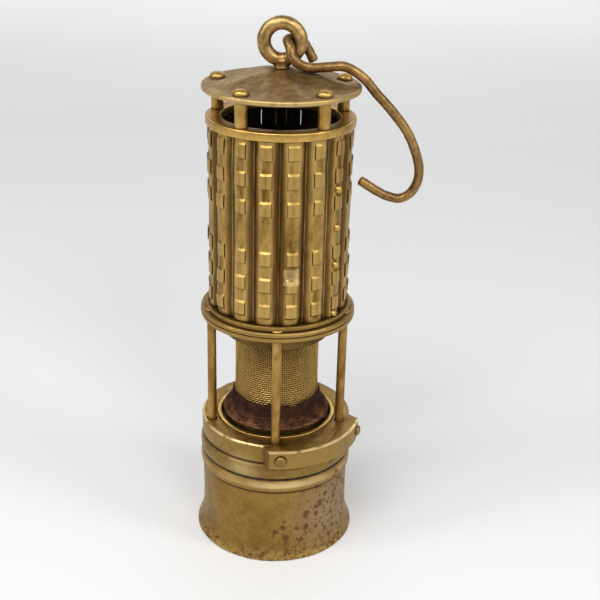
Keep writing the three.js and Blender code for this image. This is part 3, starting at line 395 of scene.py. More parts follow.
# ---- Materials ----
class Nodes:
    """Short names for building a material's node tree."""

    def __init__(self, name):
        self.material = bpy.data.materials.new(name)
        self.material.use_nodes = True
        self.tree = self.material.node_tree
        self.shader = self.tree.nodes["Principled BSDF"]
        self.place = self.tree.nodes.new("ShaderNodeTexCoord").outputs["Object"]
        self.x, self.y, self.z = self.node("SeparateXYZ", Vector=self.place).outputs

    def node(self, kind, **inputs):
        made = self.tree.nodes.new("ShaderNode" + kind)
        for key, value in inputs.items():
            self.feed(made.inputs[key.replace("_", " ")], value)
        return made

    def feed(self, socket, value):
        if isinstance(value, bpy.types.NodeSocket):
            self.tree.links.new(value, socket)
        else:
            socket.default_value = value

    def stretched(self, scale):
        return self.node("Mapping", Vector=self.place, Scale=scale).outputs["Vector"]

    def noise(self, scale, detail=4.0, rough=0.55, place=None, warp=0.0):
        made = self.node("TexNoise", Vector=place or self.place, Scale=scale, Detail=detail)
        made.inputs["Roughness"].default_value = rough
        made.inputs["Distortion"].default_value = warp
        return made.outputs["Fac"]

    def ramp(self, value, *stops):
        made = self.node("ValToRGB", Fac=value)
        points = made.color_ramp.elements
        while len(points) < len(stops):
            points.new(0.5)
        for point, (at, color) in zip(points, stops):
            point.position = at
            point.color = (*color, 1) if isinstance(color, tuple) else (color, color, color, 1)
        return made.outputs["Color"]

    def mapped(self, value, low, high, start=0.0, end=1.0):
        made = self.node("MapRange", Value=value)
        for key, number in (("From Min", low), ("From Max", high), ("To Min", start), ("To Max", end)):
            made.inputs[key].default_value = number
        return made.outputs["Result"]

    def math(self, operation, a, b=0.0):
        made = self.node("Math")
        made.operation = operation
        self.feed(made.inputs[0], a)
        self.feed(made.inputs[1], b)
        return made.outputs[0]

    def times(self, a, b):
        return self.math("MULTIPLY", a, b)

    def plus(self, a, b):
        return self.math("ADD", a, b)

    def minus(self, a, b):
        return self.math("SUBTRACT", a, b)

    def most(self, a, b):
        return self.math("MAXIMUM", a, b)

    def mix(self, share, a, b):
        made = self.node("Mix")
        made.data_type = "RGBA"
        for key, value in ((0, share), (6, a), (7, b)):
            value = (*value, 1) if isinstance(value, tuple) else value
            self.feed(made.inputs[key], value)
        return made.outputs[2]

    def crevices(self, distance):
        """1 in the open, falling to 0 in corners."""
        made = self.node("AmbientOcclusion", Distance=distance * MM)
        made.samples = 8
        return made.outputs["AO"]

    def edges(self):
        """0 on flat faces, rising to 1 on ridges."""
        return self.mapped(self.node("NewGeometry").outputs["Pointiness"], 0.503, 0.545)

    def vector(self, operation, a, b=(0, 0, 0), scale=None):
        made = self.node("VectorMath")
        made.operation = operation
        self.feed(made.inputs[0], a)
        self.feed(made.inputs[1], b)
        if scale:
            made.inputs["Scale"].default_value = scale
        return made.outputs["Value" if operation in ("DISTANCE", "LENGTH") else "Vector"]

    def near(self, point, radius, fade):
        """1 close to a point, falling to 0 beyond the radius."""
        away = self.vector("DISTANCE", self.place, tuple(c * MM for c in point))
        return self.mapped(away, (radius + fade) * MM, radius * MM)

    def bumps(self, *layers):
        """Layers of (height, depth in millimetres) as a normal."""
        normal = None
        for value, depth in layers:
            made = self.node("Bump", Height=value)
            made.inputs["Distance"].default_value = depth * MM
            if normal:
                self.tree.links.new(normal, made.inputs["Normal"])
            normal = made.outputs["Normal"]
        self.tree.links.new(normal, self.shader.inputs["Normal"])

    def finish(self, color, rough, metal):
        self.feed(self.shader.inputs["Base Color"], color)
        self.feed(self.shader.inputs["Roughness"], rough)
        self.feed(self.shader.inputs["Metallic"], metal)
        return self.material


# Near-black brown for painted shade in corners and under the lock's lug, also standing for grime.
GRIME_AND_SHADE = (0.03, 0.016, 0.006)


def aged_metal(name, dark, base, light, rough=(0.34, 0.56), pits=0.06, tarnish=0.5,
        streaks=1.0, metal=0.95, wear_and_highlight=0.6, blotches=1.0, extra=None):
    """Old brass or bronze: blotches, fine speckle, painted shade with dirt in the corners, ridges lightened
    by wear and a painted highlight, and small pits.
    """
    n = Nodes(name)
    blotch = n.noise(38, 6, 0.62, n.stretched((1, 1, streaks)), 0.6)
    darker, lighter = (tuple(b + (c - b) * blotches for b, c in zip(base, end)) for end in (dark, light))
    color = n.ramp(blotch, (0.34, darker), (0.5, base), (0.68, lighter))
    patch = n.noise(240, 5, 0.65, n.stretched((1, 1, streaks)), 0.8)
    color = n.mix(n.mapped(patch, 0.46, 0.66, 0, 0.55 * blotches), color, light)
    color = n.mix(n.mapped(patch, 0.5, 0.32, 0, 0.55 * blotches), color, dark)
    speck = n.noise(620, 3, 0.6)
    color = n.mix(n.mapped(speck, 0.5, 0.72, 0, 0.35), color, dark)
    stain = n.mapped(n.noise(95, 5, 0.7, warp=1.2), 0.56, 0.72, 0, tarnish)
    color = n.mix(stain, color, tuple(c * 0.55 for c in dark))
    # Ridges lightened: wear, and a painted highlight along the edges.
    color = n.mix(n.times(n.edges(), wear_and_highlight), color, light)
    # Painted shade: darker in corners by ambient occlusion, also standing for dirt and patina in the hollows.
    corner = n.mapped(n.crevices(5), 0.25, 0.85, 0.9, 0.0)
    color = n.mix(corner, color, GRIME_AND_SHADE)
    smooth = n.mapped(n.noise(150, 4, 0.6), 0.3, 0.7, *rough)
    smooth = n.plus(smooth, n.times(corner, 0.3))
    layers = [(speck, pits), (n.noise(160, 3, 0.5), pits * 2.2), (blotch, pits * 3)]
    if extra:
        color, smooth, more = extra(n, color, smooth)
        layers += more
    n.bumps(*layers)
    return n.finish(color, smooth, metal)


def dull_solid(name, dark, base, scale, rough=0.9, bump=0.15, metal=0.0):
    """A matt material with a fine grain: leather, cotton or flint."""
    n = Nodes(name)
    grain = n.noise(scale, 5, 0.65)
    color = n.ramp(grain, (0.3, dark), (0.7, base))
    fine = n.noise(scale * 4, 3, 0.5)
    n.bumps((grain, bump), (fine, bump * 0.4))
    return n.finish(color, n.mapped(fine, 0.3, 0.7, rough - 0.1, rough), metal)


BRASS = {"dark": (0.135, 0.064, 0.012), "base": (0.31, 0.182, 0.041), "light": (0.5, 0.325, 0.1)}
SPOT_PLACES = ((polar(WALL, 53, 24), 15, 15), (polar(WALL, 14, 13), 4, 13))  # centre, radius and fade
SPOT_BROWN = (0.15, 0.075, 0.038)
SPOT_PINK = (0.36, 0.25, 0.15)
# A painted highlight colour, for bright edges, the front of the font's bead and a patch on the base ring.
PAINTED_HIGHLIGHT = (0.8, 0.62, 0.3)


def spots(n, scale, share, size):
    """Irregular round spots, on a share of the cells of a grid."""
    sway = n.node("TexNoise", Vector=n.place, Scale=scale * 1.6, Detail=3.0)
    shift = n.vector("SCALE", sway.outputs["Color"], scale=0.9 / scale)
    cells = n.node("TexVoronoi", Vector=n.vector("ADD", n.place, shift), Scale=scale)
    chance = n.node("SeparateColor", Color=cells.outputs["Color"])
    picked = n.math("GREATER_THAN", chance.outputs[0], 1 - share)
    radius = n.plus(n.times(chance.outputs[1], size * 0.5), size * 0.6)
    edge = n.minus(radius, cells.outputs["Distance"])
    return n.times(n.mapped(edge, -0.02, 0.13), picked)


def corroded(n, color, smooth):
    """Brown spots where the font has corroded, low on its right, a scabbed edge round its foot, painted shade
    under the bead and painted highlights along its top.
    """
    (place, radius, fade), (place_2, radius_2, fade_2) = SPOT_PLACES
    cluster, few = n.near(place, radius, fade), n.near(place_2, radius_2, fade_2)
    color = n.mix(n.times(n.near(place, radius - 4, fade + 6), 0.6), color, SPOT_PINK)
    big = n.times(spots(n, 210.0, 0.8, 0.47), n.mapped(n.most(cluster, few), 0.25, 0.5))
    small = n.times(spots(n, 430.0, 0.6, 0.42), n.most(cluster, few))
    spot = n.most(big, small)
    color = n.mix(n.times(spot, 0.78), color, SPOT_BROWN)
    foot = n.mapped(n.plus(n.z, n.times(n.noise(110, 4), 0.016)), 0.017, 0.009)
    scab = n.noise(330, 5, 0.75)
    color = n.mix(n.times(foot, n.mapped(scab, 0.44, 0.56, 0, 0.75)), color, BRASS["light"])
    color = n.mix(n.times(foot, n.mapped(scab, 0.5, 0.4, 0, 0.8)), color, (0.1, 0.055, 0.022))
    pitted = n.times(foot, scab)
    bead = FONT_TOP - BEAD_HEIGHT
    # Painted shade: a dark line just under the bead.
    color = n.mix(n.times(band(n, n.z, bead - 0.7, 0.5, 0.9), 0.75), color, (0.04, 0.02, 0.008))
    # Painted highlight along the top of the bead, broken up by noise.
    wear_and_highlight = band(n, n.z, FONT_TOP - 2.7, 0.8, 1.3)
    wear_and_highlight = n.times(wear_and_highlight, n.mapped(n.noise(90, 4), 0.3, 0.6, 0.1, 0.5))
    color = n.mix(wear_and_highlight, color, (0.62, 0.44, 0.17))
    # Painted highlight on the bead, a little right of the front.
    front = n.near(polar(WALL, 8, FONT_TOP - 2.5), 6, 20)
    front = n.times(front, band(n, n.z, FONT_TOP - 2.6, 0.8, 1.2))
    color = n.mix(n.times(front, 0.75), color, PAINTED_HIGHLIGHT)
    return color, n.plus(smooth, n.times(spot, 0.3)), [(spot, -0.12), (pitted, 0.25)]


def radius_node(n):
    """Distance from the lamp's axis."""
    return n.vector("LENGTH", n.vector("MULTIPLY", n.place, (1, 1, 0)))


def band(n, value, centre, half, fade):
    """1 where a distance is close to a centre, in millimetres, falling to 0 beyond."""
    away = n.math("ABSOLUTE", n.minus(value, centre * MM))
    return n.mapped(away, (half + fade) * MM, half * MM)


def rim_wear_and_highlight(color, radius, height, side=None):
    """An extra layer with a painted highlight along one edge, broken up like wear, given by the radius and
    height of its corner.
    """
    def layer(n, base, smooth):
        broken = n.mapped(n.noise(180, 4, 0.6), 0.34, 0.5)
        rim = n.times(band(n, radius_node(n), radius - 0.3, 0.5, 0.4), band(n, n.z, height, 0.6, 0.4))
        rim = n.times(rim, broken)
        if side:
            rim = n.times(rim, n.mapped(n.x, 0, side * 0.004))
        return n.mix(rim, base, color), smooth, []
    return layer


def step_line(n, color, smooth):
    """A dark line in the step between the base ring's two bands, a painted shadow under the lock's lug, and a
    painted reflection low on the front left.
    """
    line = n.times(band(n, n.z, RING_BOTTOM + 9.6, 0.5, 0.5),
            n.mapped(radius_node(n), (LUG_OUTER - 2) * MM, (LUG_OUTER - 3) * MM))
    shade = n.times(band(n, n.z, LUG_BOTTOM - 2.5, 0.8, 0.8), n.mapped(n.x, -0.003, -0.001))
    shade = n.times(shade, n.mapped(n.y, 0.014, 0.008))
    shade = n.times(shade, n.mapped(radius_node(n), (LUG_OUTER - 1.6) * MM, (LUG_OUTER - 2.4) * MM))
    line = n.most(line, shade)
    # Painted reflection: a bright patch low on the front left of the lower band.
    painted_reflection = n.times(n.near(polar(LUG_OUTER - 3, -24, RING_BOTTOM + 5), 3, 9), 0.35)
    color = n.mix(painted_reflection, color, PAINTED_HIGHLIGHT)
    return n.mix(n.times(line, 0.8), color, GRIME_AND_SHADE), smooth, []


def layered(*layers):
    """Several extra layers, one over the other."""
    def layer(n, color, smooth):
        bumps = []
        for one in layers:
            color, smooth, more = one(n, color, smooth)
            bumps += more
        return color, smooth, bumps
    return layer


def fluted(n, color, smooth):
    """Brown on the sides of the bonnet's grooves, painted shade that also stands for tarnish, with a painted
    highlight along the bottom of each.
    """
    turn = n.math("ARCTAN2", n.x, n.times(n.y, -1.0))
    count = n.minus(n.times(turn, FLUTES / (2 * pi)), FLUTE_START * FLUTES / 360)
    across = n.math("ABSOLUTE", n.minus(n.times(n.math("FRACT", count), 2.0), 1.0))
    waver = n.times(n.minus(n.noise(45, 5, 0.65, n.stretched((1, 1, 0.2))), 0.5), 1.1)
    # Painted shade darkening the sides of each groove, also standing for tarnish.
    groove = n.mapped(n.plus(across, waver), 0.44, 0.76)
    color = n.mix(n.times(groove, 0.85), color, (0.085, 0.038, 0.009))
    # Painted highlight: a bright line along the bottom of each groove.
    bottom = n.times(n.mapped(across, 0.93, 0.985, 0, 0.8), n.mapped(n.noise(60, 4), 0.35, 0.6, 0.3, 1))
    color = n.mix(bottom, color, (0.6, 0.42, 0.18))
    knocked = n.times(band(n, n.z, PRESSED_HEIGHT, 3.6, 0.9), n.mapped(across, 0.66, 0.5))
    knocked = n.times(knocked, n.near(polar(CREST, PRESSED_AT, PRESSED_HEIGHT), 7, 2))
    knocked = n.times(knocked, n.mapped(n.noise(200, 4, 0.6), 0.35, 0.55, 0.35, 1))
    color = n.mix(n.times(knocked, 0.7), color, (0.8, 0.58, 0.24))
    return color, n.minus(smooth, n.times(knocked, 0.1)), []


def rusty_foot(n, color, smooth):
    """Rust creeping up the gauze from its foot."""
    waver = n.times(n.noise(90, 5, 0.7), 0.02)
    level = n.plus(n.z, waver)
    rust = n.mapped(level, (GAUZE_BOTTOM + 27) * MM, (GAUZE_BOTTOM + 15) * MM)
    return n.mix(rust, color, (0.07, 0.028, 0.012)), smooth, []


def rust(name):
    n = Nodes(name)
    scale = n.noise(140, 7, 0.7, warp=0.8)
    streak = n.noise(230, 6, 0.75, n.stretched((1, 1, 5)), 0.4)
    color = n.ramp(scale, (0.36, (0.008, 0.003, 0.001)), (0.5, (0.045, 0.014, 0.005)),
            (0.62, (0.14, 0.045, 0.014)))
    color = n.mix(n.mapped(streak, 0.48, 0.62, 0, 0.65), color, (0.19, 0.075, 0.028))
    edge = reach("gauze_foot_ring")
    waver = n.times(n.noise(260, 4), 0.003)
    low = n.mapped(n.plus(radius_node(n), waver), (edge - 0.2) * MM, (edge + 1.4) * MM, 0, 0.6)
    color = n.mix(n.times(low, n.mapped(streak, 0.35, 0.6)), color, (0.26, 0.13, 0.065))
    high = n.mapped(n.plus(n.z, waver), (GAUZE_BOTTOM + 4.5) * MM, (GAUZE_BOTTOM + 8) * MM, 0, 0.6)
    color = n.mix(high, color, (0.018, 0.007, 0.004))
    # Painted shade: darker in the corners by ambient occlusion.
    color = n.mix(n.mapped(n.crevices(4), 0.2, 0.8, 0.8, 0), color, (0.012, 0.006, 0.004))
    n.bumps((scale, 1.3), (streak, 0.8), (n.noise(900, 3), 0.2))
    n.shader.inputs["Specular IOR Level"].default_value = 0.2
    return n.finish(color, n.mapped(scale, 0.3, 0.7, 0.95, 0.75), 0.1)


def tone(factor, red=1.0):
    """The brass, lighter or darker."""
    return {key: (c[0] * factor * red, c[1] * factor, c[2] * factor) for key, c in BRASS.items()}


FONT_LOOK = aged_metal("font_brass", **tone(0.9), rough=(0.36, 0.55), blotches=0.35, tarnish=0.3,
    extra=corroded)
# The ring's extra layers paint highlights along its top edges, shade under the lock's lug and a reflection on
# its lower band.
RING_LOOK = aged_metal("ring_brass", **tone(0.76), rough=(0.32, 0.52), blotches=0.6,
    extra=layered(rim_wear_and_highlight(PAINTED_HIGHLIGHT, WALL + 0.3, RING_TOP - 0.2, -1), step_line,
    rim_wear_and_highlight(PAINTED_HIGHLIGHT, LUG_OUTER, RING_TOP - 0.3)))
LIP_LOOK = aged_metal("lip_brass", **tone(0.84), rough=(0.34, 0.5), blotches=0.6)
# A lighter copy of the brass for the top ring and seat ring: painted light from the front.
LIT_TOP_LOOK = aged_metal("lit_top_brass", **tone(1.5), rough=(0.24, 0.4), blotches=0.5, tarnish=0.3)
# A darker copy of the brass for the glass collar: painted shade under the frame ring, also standing for soot.
SHADED_COLLAR_LOOK = aged_metal("shaded_collar_brass", **tone(0.45), rough=(0.45, 0.65))
BONNET_LOOK = aged_metal("bonnet_brass", **tone(1.0), rough=(0.26, 0.46), streaks=0.35, wear_and_highlight=0.8,
    extra=fluted)
POST_LOOK = aged_metal("post_brass", **tone(1.35), rough=(0.3, 0.45), tarnish=0.25, blotches=0.6)
PILLAR_LOOK = aged_metal("pillar_brass", **tone(1.02, 1.06), rough=(0.34, 0.52), streaks=0.3, tarnish=0.6)
# The cap's rim gets a painted highlight, broken up like wear.
CAP_LOOK = aged_metal("cap_bronze", (0.17, 0.095, 0.03), (0.32, 0.205, 0.075), (0.46, 0.33, 0.16),
    rough=(0.4, 0.58), extra=rim_wear_and_highlight((0.58, 0.4, 0.15), CAP_RADIUS, CAP_RIM - 1.2))
EYE_LOOK = aged_metal("eye_bronze", (0.15, 0.07, 0.027), (0.42, 0.26, 0.09), (0.66, 0.46, 0.19), tarnish=0.7,
    rough=(0.3, 0.48))
HOOK_LOOK = aged_metal("hook_bronze", (0.05, 0.021, 0.01), (0.2, 0.108, 0.036), (0.46, 0.28, 0.1), pits=0.14,
    rough=(0.34, 0.55), tarnish=0.8)
GAUZE_LOOK = aged_metal("gauze_brass", **tone(1.25), rough=(0.36, 0.55), pits=0.02, metal=0.9,
    extra=rusty_foot)
INNER_GAUZE_LOOK = aged_metal("inner_gauze", **tone(0.14), rough=(0.6, 0.8), extra=rusty_foot, metal=0.5)
RUST_LOOK = rust("rusted_iron")
SOOT_LOOK = aged_metal("soot", (0.008, 0.006, 0.004), (0.02, 0.014, 0.008), (0.045, 0.03, 0.014),
    rough=(0.7, 0.9), metal=0.4)
STEEL_LOOK = aged_metal("steel", (0.1, 0.09, 0.08), (0.3, 0.29, 0.27), (0.5, 0.49, 0.47), rough=(0.35, 0.55))
LEATHER_LOOK = dull_solid("leather", (0.012, 0.008, 0.005), (0.05, 0.03, 0.018), 400)
COTTON_LOOK = dull_solid("cotton", (0.35, 0.3, 0.22), (0.68, 0.62, 0.5), 700, bump=0.4)
CHARRED_LOOK = dull_solid("charred_cotton", (0.01, 0.009, 0.008), (0.3, 0.26, 0.2), 500, bump=0.4)
FLINT_LOOK = dull_solid("flint", (0.03, 0.028, 0.026), (0.1, 0.095, 0.09), 900, rough=0.6, metal=0.2)


# ---- Font ----
def foot_radius(z, gap=0.0):
    return WALL - gap + FOOT_FLARE * max(0.0, 1 - z / FOOT_HEIGHT) ** 2


def font_shell():
    flare = [FOOT_HEIGHT * (i / 10) for i in range(11)]
    bead_bottom = FONT_TOP - BEAD_HEIGHT
    swell = ((0, 0), (0.03, 0.6), (0.12, 0.86), (0.3, 1), (0.5, 0.97), (0.68, 0.8), (0.82, 0.5), (0.93, 0.15))
    bead = [(WALL + BEAD_PROUD * out, bead_bottom + BEAD_HEIGHT * t) for t, out in swell]
    wall = [(WALL, FOOT_HEIGHT + (bead_bottom - FOOT_HEIGHT) * i / 6) for i in range(1, 6)]
    wall += [(WALL - 0.3, bead_bottom - 0.9), (WALL - 0.3, bead_bottom - 0.1)]
    lip = [(WALL - 0.1, FONT_TOP), (WALL - 1.8, FONT_TOP), (WALL - 1.8, FONT_TOP - FONT_WALL),
           (WALL - FONT_WALL, FONT_TOP - FONT_WALL - 1)]
    inside = [(foot_radius(z, FONT_WALL), z) for z in reversed(flare)]
    profile = [(foot_radius(z), z) for z in flare] + wall + bead + lip + inside
    make("font_shell_brass", lathe(profile, soft=0.5), FONT_LOOK, ["font_shell"], "font",
         warp=0.35)


def font_bottom():
    plug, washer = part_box("filler_plug"), span("filler_washer")
    behind = middle("filler_plug").y
    shell = rod(foot_radius(1.5, FONT_WALL + GAP), 0, 1.5, SIDES)
    add, cut = [], []
    for node in ("wick_knob", "relighter_knob"):
        x = middle(node).x
        add.append(placed(rod(KEY_WELL + 1, 0.5, 9, 64), (x, 0)))
        cut.append(placed(rod(KEY_WELL, -1, 8, 64), (x, 0)))
        cut.append(placed(rod(SPINDLE_BORE, -1, 10), (x, 0)))
    add.append(placed(rod(FILLER_CUP + 1, 0.5, washer[1] + GAP + 1, 64), (0, behind)))
    add.append(placed(rod(6, 4, plug[1].z / MM + GAP, 48), (0, behind)))
    cut.append(placed(rod(FILLER_CUP, -1, washer[1] + GAP, 64), (0, behind)))
    cut.append(placed(rod(5, -1, plug[1].z / MM + 1, 48), (0, behind)))
    make("font_bottom_brass", shell, FONT_LOOK, ["font_bottom_plate"], "font", add=add,
         cut=cut, bevel=0.25)


def thread(radius, height, degrees):
    """A screw thread on the collar's outer wall."""
    if radius < WALL - 4.5 or height < FONT_TOP - 3 or height > DECK - 1.2:
        return radius, height
    turn = (height / THREAD_LEAD - degrees / 360) % 1
    return radius - THREAD_DEPTH * abs(2 * turn - 1), height


def font_neck():
    collar = WALL - 4
    bottom = FONT_TOP - 5.8
    flange = WALL - FONT_WALL - GAP
    foot, land = reach("gauze_foot_ring") - 2, DECK + 5.6
    steps = [(collar, bottom + 2 + (DECK - 2.6 - bottom) * i / 56) for i in range(57)]
    profile = [(collar - 3.4, bottom), (flange, bottom), (flange, bottom + 2), *steps, (collar - 0.6, DECK),
            (foot, DECK), (foot, land), (foot - 6.9, land), (foot - 6.9, DECK), (7.6, DECK),
            (7.6, DECK - 1.6), (collar - 3.4, DECK - 1.6)]
    cut = [placed(rod(SPINDLE_BORE, DECK - 4, DECK + 2), (middle(n).x, 0))
           for n in ("wick_knob", "relighter_knob")]
    for i in range(5):
        tooth = block(-3, 3, -collar - 2.2, -collar + 2.2, LUG_BOTTOM + 1.5, DECK + 1)
        turn = Matrix.Rotation(radians(26 + 72 * i), 3, "Z")
        cut.append(([turn @ v for v in tooth[0]], tooth[1]))
    make("font_neck_brass", lathe(profile, shift=thread), RING_LOOK, ["font_neck"], "font", cut=cut)


def knob(node, body):
    """A turned key grip with rounded flutes."""
    bottom, top = span(node)
    place = middle(node)

    def grip(radius, height, degrees):
        if radius < 3:
            return radius, height
        return radius - 0.8 * max(0.0, cos(radians(6 * degrees))) ** 3, height

    outline = [(SPINDLE_BORE, bottom), (5.5, bottom), (5.5, top), (SPINDLE_BORE, top)]
    shape = placed(lathe(outline, 96, 0.7, grip), (place.x, place.y))
    make(f"{node}_brass", shape, RING_LOOK, [node], body)


def filler():
    bottom, top = span("filler_plug")
    place = middle("filler_plug")
    head = bottom + 2.4
    steps = [(4.7 - 0.35 * (i % 2), head + 0.6 + (top - head - 0.8) * i / 10) for i in range(11)]
    outline = [(0, bottom), (6.4, bottom), (7, bottom + 0.6), (7, head), (4.5, head), *steps,
            (4.2, top), (0, top)]
    slot = block(-8, 8, -0.7, 0.7, bottom - 1, bottom + 1.4)
    make("filler_plug_brass", placed(lathe(outline, 64), place), RING_LOOK, ["filler_plug"],
         "filler_plug", cut=[placed(slot, place)], bevel=0.15)


# ---- Cage ----
def base_ring():
    fuller = reach("base_ring")
    upper, bore = WALL + 0.3, WALL - 3.3
    band_top, plate, seat = RING_BOTTOM + 9.6, RING_TOP - 2.7, WALL + 0.3 - 8
    ledge = plate + 1.5
    swell = [(fuller - inset, RING_BOTTOM + rise) for inset, rise in (
        (1.3, 0), (0.5, 1.2), (0.1, 2.8), (0, 4.4), (0.25, 6.4), (0.8, 8))]
    profile = [(bore, RING_BOTTOM), *swell, (fuller - 1.5, band_top - 0.6), (upper - 0.8, band_top - 0.1),
            (upper - 0.8, band_top + 0.5), (upper - 0.1, band_top + 1),
            (upper, band_top + 1.3), (upper, RING_TOP - 0.6), (upper - 0.6, RING_TOP), (seat, RING_TOP),
            (seat, ledge), (seat - 1.7, ledge), (seat - 1.7, plate), (bore, plate)]
    lug = sector(upper - 1, LUG_OUTER, LUG_FROM, LUG_TO, LUG_BOTTOM, RING_TOP, 6)
    inner = LUG_OUTER - 1.6
    cover = sector(inner, LUG_OUTER + 3, LUG_FROM - 8, LUG_TO + 8, LUG_BOTTOM - 1, RING_TOP - 0.5)
    pocket = sector(upper - 5, LUG_OUTER - 1, 16, 63, LUG_BOTTOM + 1.8, RING_TOP - 2.2)
    cut = [cover, pocket]
    for node in LOCK_SCREWS:
        cut.append(outward(rod(SCREW_BORE, bore + 0.8, LUG_OUTER), *facing(node)))
    cut += holes([middle("lock_pin")], 1.4, LUG_BOTTOM - 1, RING_TOP - 0.7)
    cut += holes(PILLARS, 2.65, RING_TOP - 2.1, RING_TOP + 1)
    make("base_ring_brass", lathe(profile), RING_LOOK, ["base_ring"], add=[lug], cut=cut, bevel=0.35,
         warp=0.3)


def lock_cover():
    bottom, top = LUG_BOTTOM, RING_TOP - 0.6
    shape = sector(LUG_OUTER - 1.3, LUG_OUTER, LUG_FROM, LUG_TO, bottom, top)
    bores = ((SCREW_BORE, 40), (3.5, LUG_OUTER - 0.45))
    cut = [outward(rod(size, start, 50), *facing(n))
           for n in LOCK_SCREWS for size, start in bores]
    make("lock_cover_brass", shape, RING_LOOK, ["lock_cover"], cut=cut, bevel=0.3, warp=0.3)


def lock_screw(node):
    face = LUG_OUTER + 0.15
    head = dome(2.9, face + 0.5, 1.2, (0, 0.35, 0.7, 1.05, 1.35))
    shape = lathe([(0, 39), (1.5, 39), (1.5, face), (2.9, face), *head, (0, face + 1.7)], ROD_SIDES)
    make(f"{node}_brass", outward(shape, *facing(node)), RING_LOOK, [node])


def seat_ring():
    (bottom, top), outer = span("seat_ring"), reach("seat_ring")
    shape = lathe([(outer - 2.4, bottom), (outer, bottom), (outer, top), (outer - 2.4, top)], soft=0.5)
    make("seat_ring_brass", shape, LIT_TOP_LOOK, ["seat_ring"], warp=0.2)


def pillar(i, place):
    foot, head = RING_TOP - 1.8, FRAME_TOP + GAP
    shaft = [(2.4, foot + (head - foot) * k / 12) for k in range(13)]
    riveted = dome(3.4, head + 0.2, 1.1, (0, 0.4, 0.8, 1.15))
    shape = lathe([(0, foot), *shaft, (3.4, head), *riveted, (0, head + 1.3)], ROD_SIDES)
    make(f"pillar_{i}_brass", placed(shape, place), PILLAR_LOOK, [f"pillar_{i}"],
         warp=0.12)


def frame_ring():
    outer, inner = reach("frame_top_ring"), reach("glass_seat_collar") - 4.8 + GAP
    waist = (FRAME_BOTTOM + FRAME_TOP) / 2 + 0.3
    flange, ledge = reach("glass_seat_collar") + GAP, FRAME_BOTTOM + 2.1
    lower = [(outer - 0.9 + 0.9 * sin(a), FRAME_BOTTOM + 1.3 - 1.3 * cos(a))
            for a in (0, 0.5, 1, 1.5)]
    profile = [*lower, (outer, waist - 0.4), (outer - 0.6, waist - 0.1), (outer - 0.6, waist + 0.1),
            (outer - 0.1, waist + 0.4), (outer - 0.1, FRAME_TOP - 0.8), (outer - 0.7, FRAME_TOP),
            (flange, FRAME_TOP), (flange, ledge), (inner, ledge), (inner, FRAME_BOTTOM)]
    make("frame_ring_brass", lathe(profile), LIP_LOOK, ["frame_top_ring"],
         cut=holes(PILLARS, 2.6, FRAME_BOTTOM - 1, FRAME_TOP + 1), warp=0.25)


def glass_collar():
    bottom, top = span("glass_seat_collar")
    flange, tube = reach("glass_seat_collar"), reach("glass_seat_collar") - 4.8
    shape = lathe([(tube - 2.4, bottom), (tube, bottom), (tube, top - 1.7), (flange, top - 1.7),
            (flange, top), (tube - 2.4, top)], soft=0.4)
    make("glass_collar_brass", shape, SHADED_COLLAR_LOOK, ["glass_seat_collar"])


# ---- Bonnet ----
def bonnet_ring():
    outer = reach("bonnet_base_ring")
    inner, floor = outer - 1.7, LIP_BOTTOM + 1.8
    profile = [(inner - 6.8, LIP_BOTTOM), (outer, LIP_BOTTOM), (outer, LIP_TOP), (inner, LIP_TOP),
            (inner, floor), (inner - 6.8, floor)]
    arch = dome(3.9, LIP_BOTTOM - 0.1, 1.55)
    room = lathe([(0, LIP_BOTTOM - 1), (3.9, LIP_BOTTOM - 1), *arch, (0, LIP_BOTTOM + 1.45)], ROD_SIDES)
    make("bonnet_ring_brass", lathe(profile, soft=0.4), LIP_LOOK, ["bonnet_base_ring"],
         cut=[placed(room, p) for p in PILLARS], warp=0.25)


def louvre_feet():
    """Heights of the lower end of each louvre, from the bottom up."""
    low = [BONNET_BOTTOM + LOUVRE_FOOT + LOUVRE_PITCH * i for i in range(3)]
    return low + [BONNET_TOP - LOUVRE_TOP - LOUVRE_HEIGHT - LOUVRE_PITCH * i for i in (2, 1, 0)]


def bonnet_rows():
    """Heights of the rows of points, the share of a louvre's rise at each, and whether a slit starts."""
    rows = [(BONNET_BOTTOM, 0.0, False), (BONNET_BOTTOM + 2, 0.0, False)]
    for foot in louvre_feet():
        while foot - rows[-1][0] > 6:
            rows.append((rows[-1][0] + 4, 0.0, False))
        top = foot + LOUVRE_HEIGHT
        raised = (foot + LOUVRE_SLOPE, foot + LOUVRE_HEIGHT / 3, foot + LOUVRE_HEIGHT * 2 / 3,
                top - LOUVRE_SLOPE)
        rows += [(foot, 0.0, True), *[(z, 1.0, True) for z in raised], (top, 0.0, False)]
    return rows + [(BONNET_TOP, 0.0, False)]


# The points across a flute, as shares of its half-width; each flute ends where the next one starts.
ACROSS = (-1, -0.94, -0.85, -0.72, -0.55, -SLIT_HALF, -LOUVRE_HALF, -0.17, 0, 0.17, LOUVRE_HALF,
    SLIT_HALF, 0.55, 0.72, 0.85, 0.94)
SEAM_FLUTE = 1  # the flute whose right-hand groove has opened along its seam


def bonnet_point(flute, across, height, rise):
    degrees = FLUTE_START + 360 / FLUTES * (flute + 0.5 + across / 2)
    radius = CREST - FLUTE_DEPTH * abs(across) ** FLUTE_SHARPNESS
    if abs(across) <= LOUVRE_HALF:
        radius += LOUVRE_RISE * rise * (1 - 0.12 * (across / LOUVRE_HALF) ** 2)
    spot = polar(CREST, degrees, height)
    radius += 0.55 * noise.noise(spot * 0.07) + 0.25 * noise.noise(spot * 0.21 + Vector((7, 3, 1)))
    aside = (degrees - PRESSED_AT) * radians(CREST) / PRESSED_WIDE
    above = (height - PRESSED_HEIGHT) / PRESSED_TALL
    radius -= PRESSED_DEEP * above * exp(-2 * (aside**2 + above**2))
    if height < BONNET_BOTTOM + 1:
        height += 0.5 + 0.5 * noise.noise(spot * 0.12)
    return polar(radius, degrees, height)


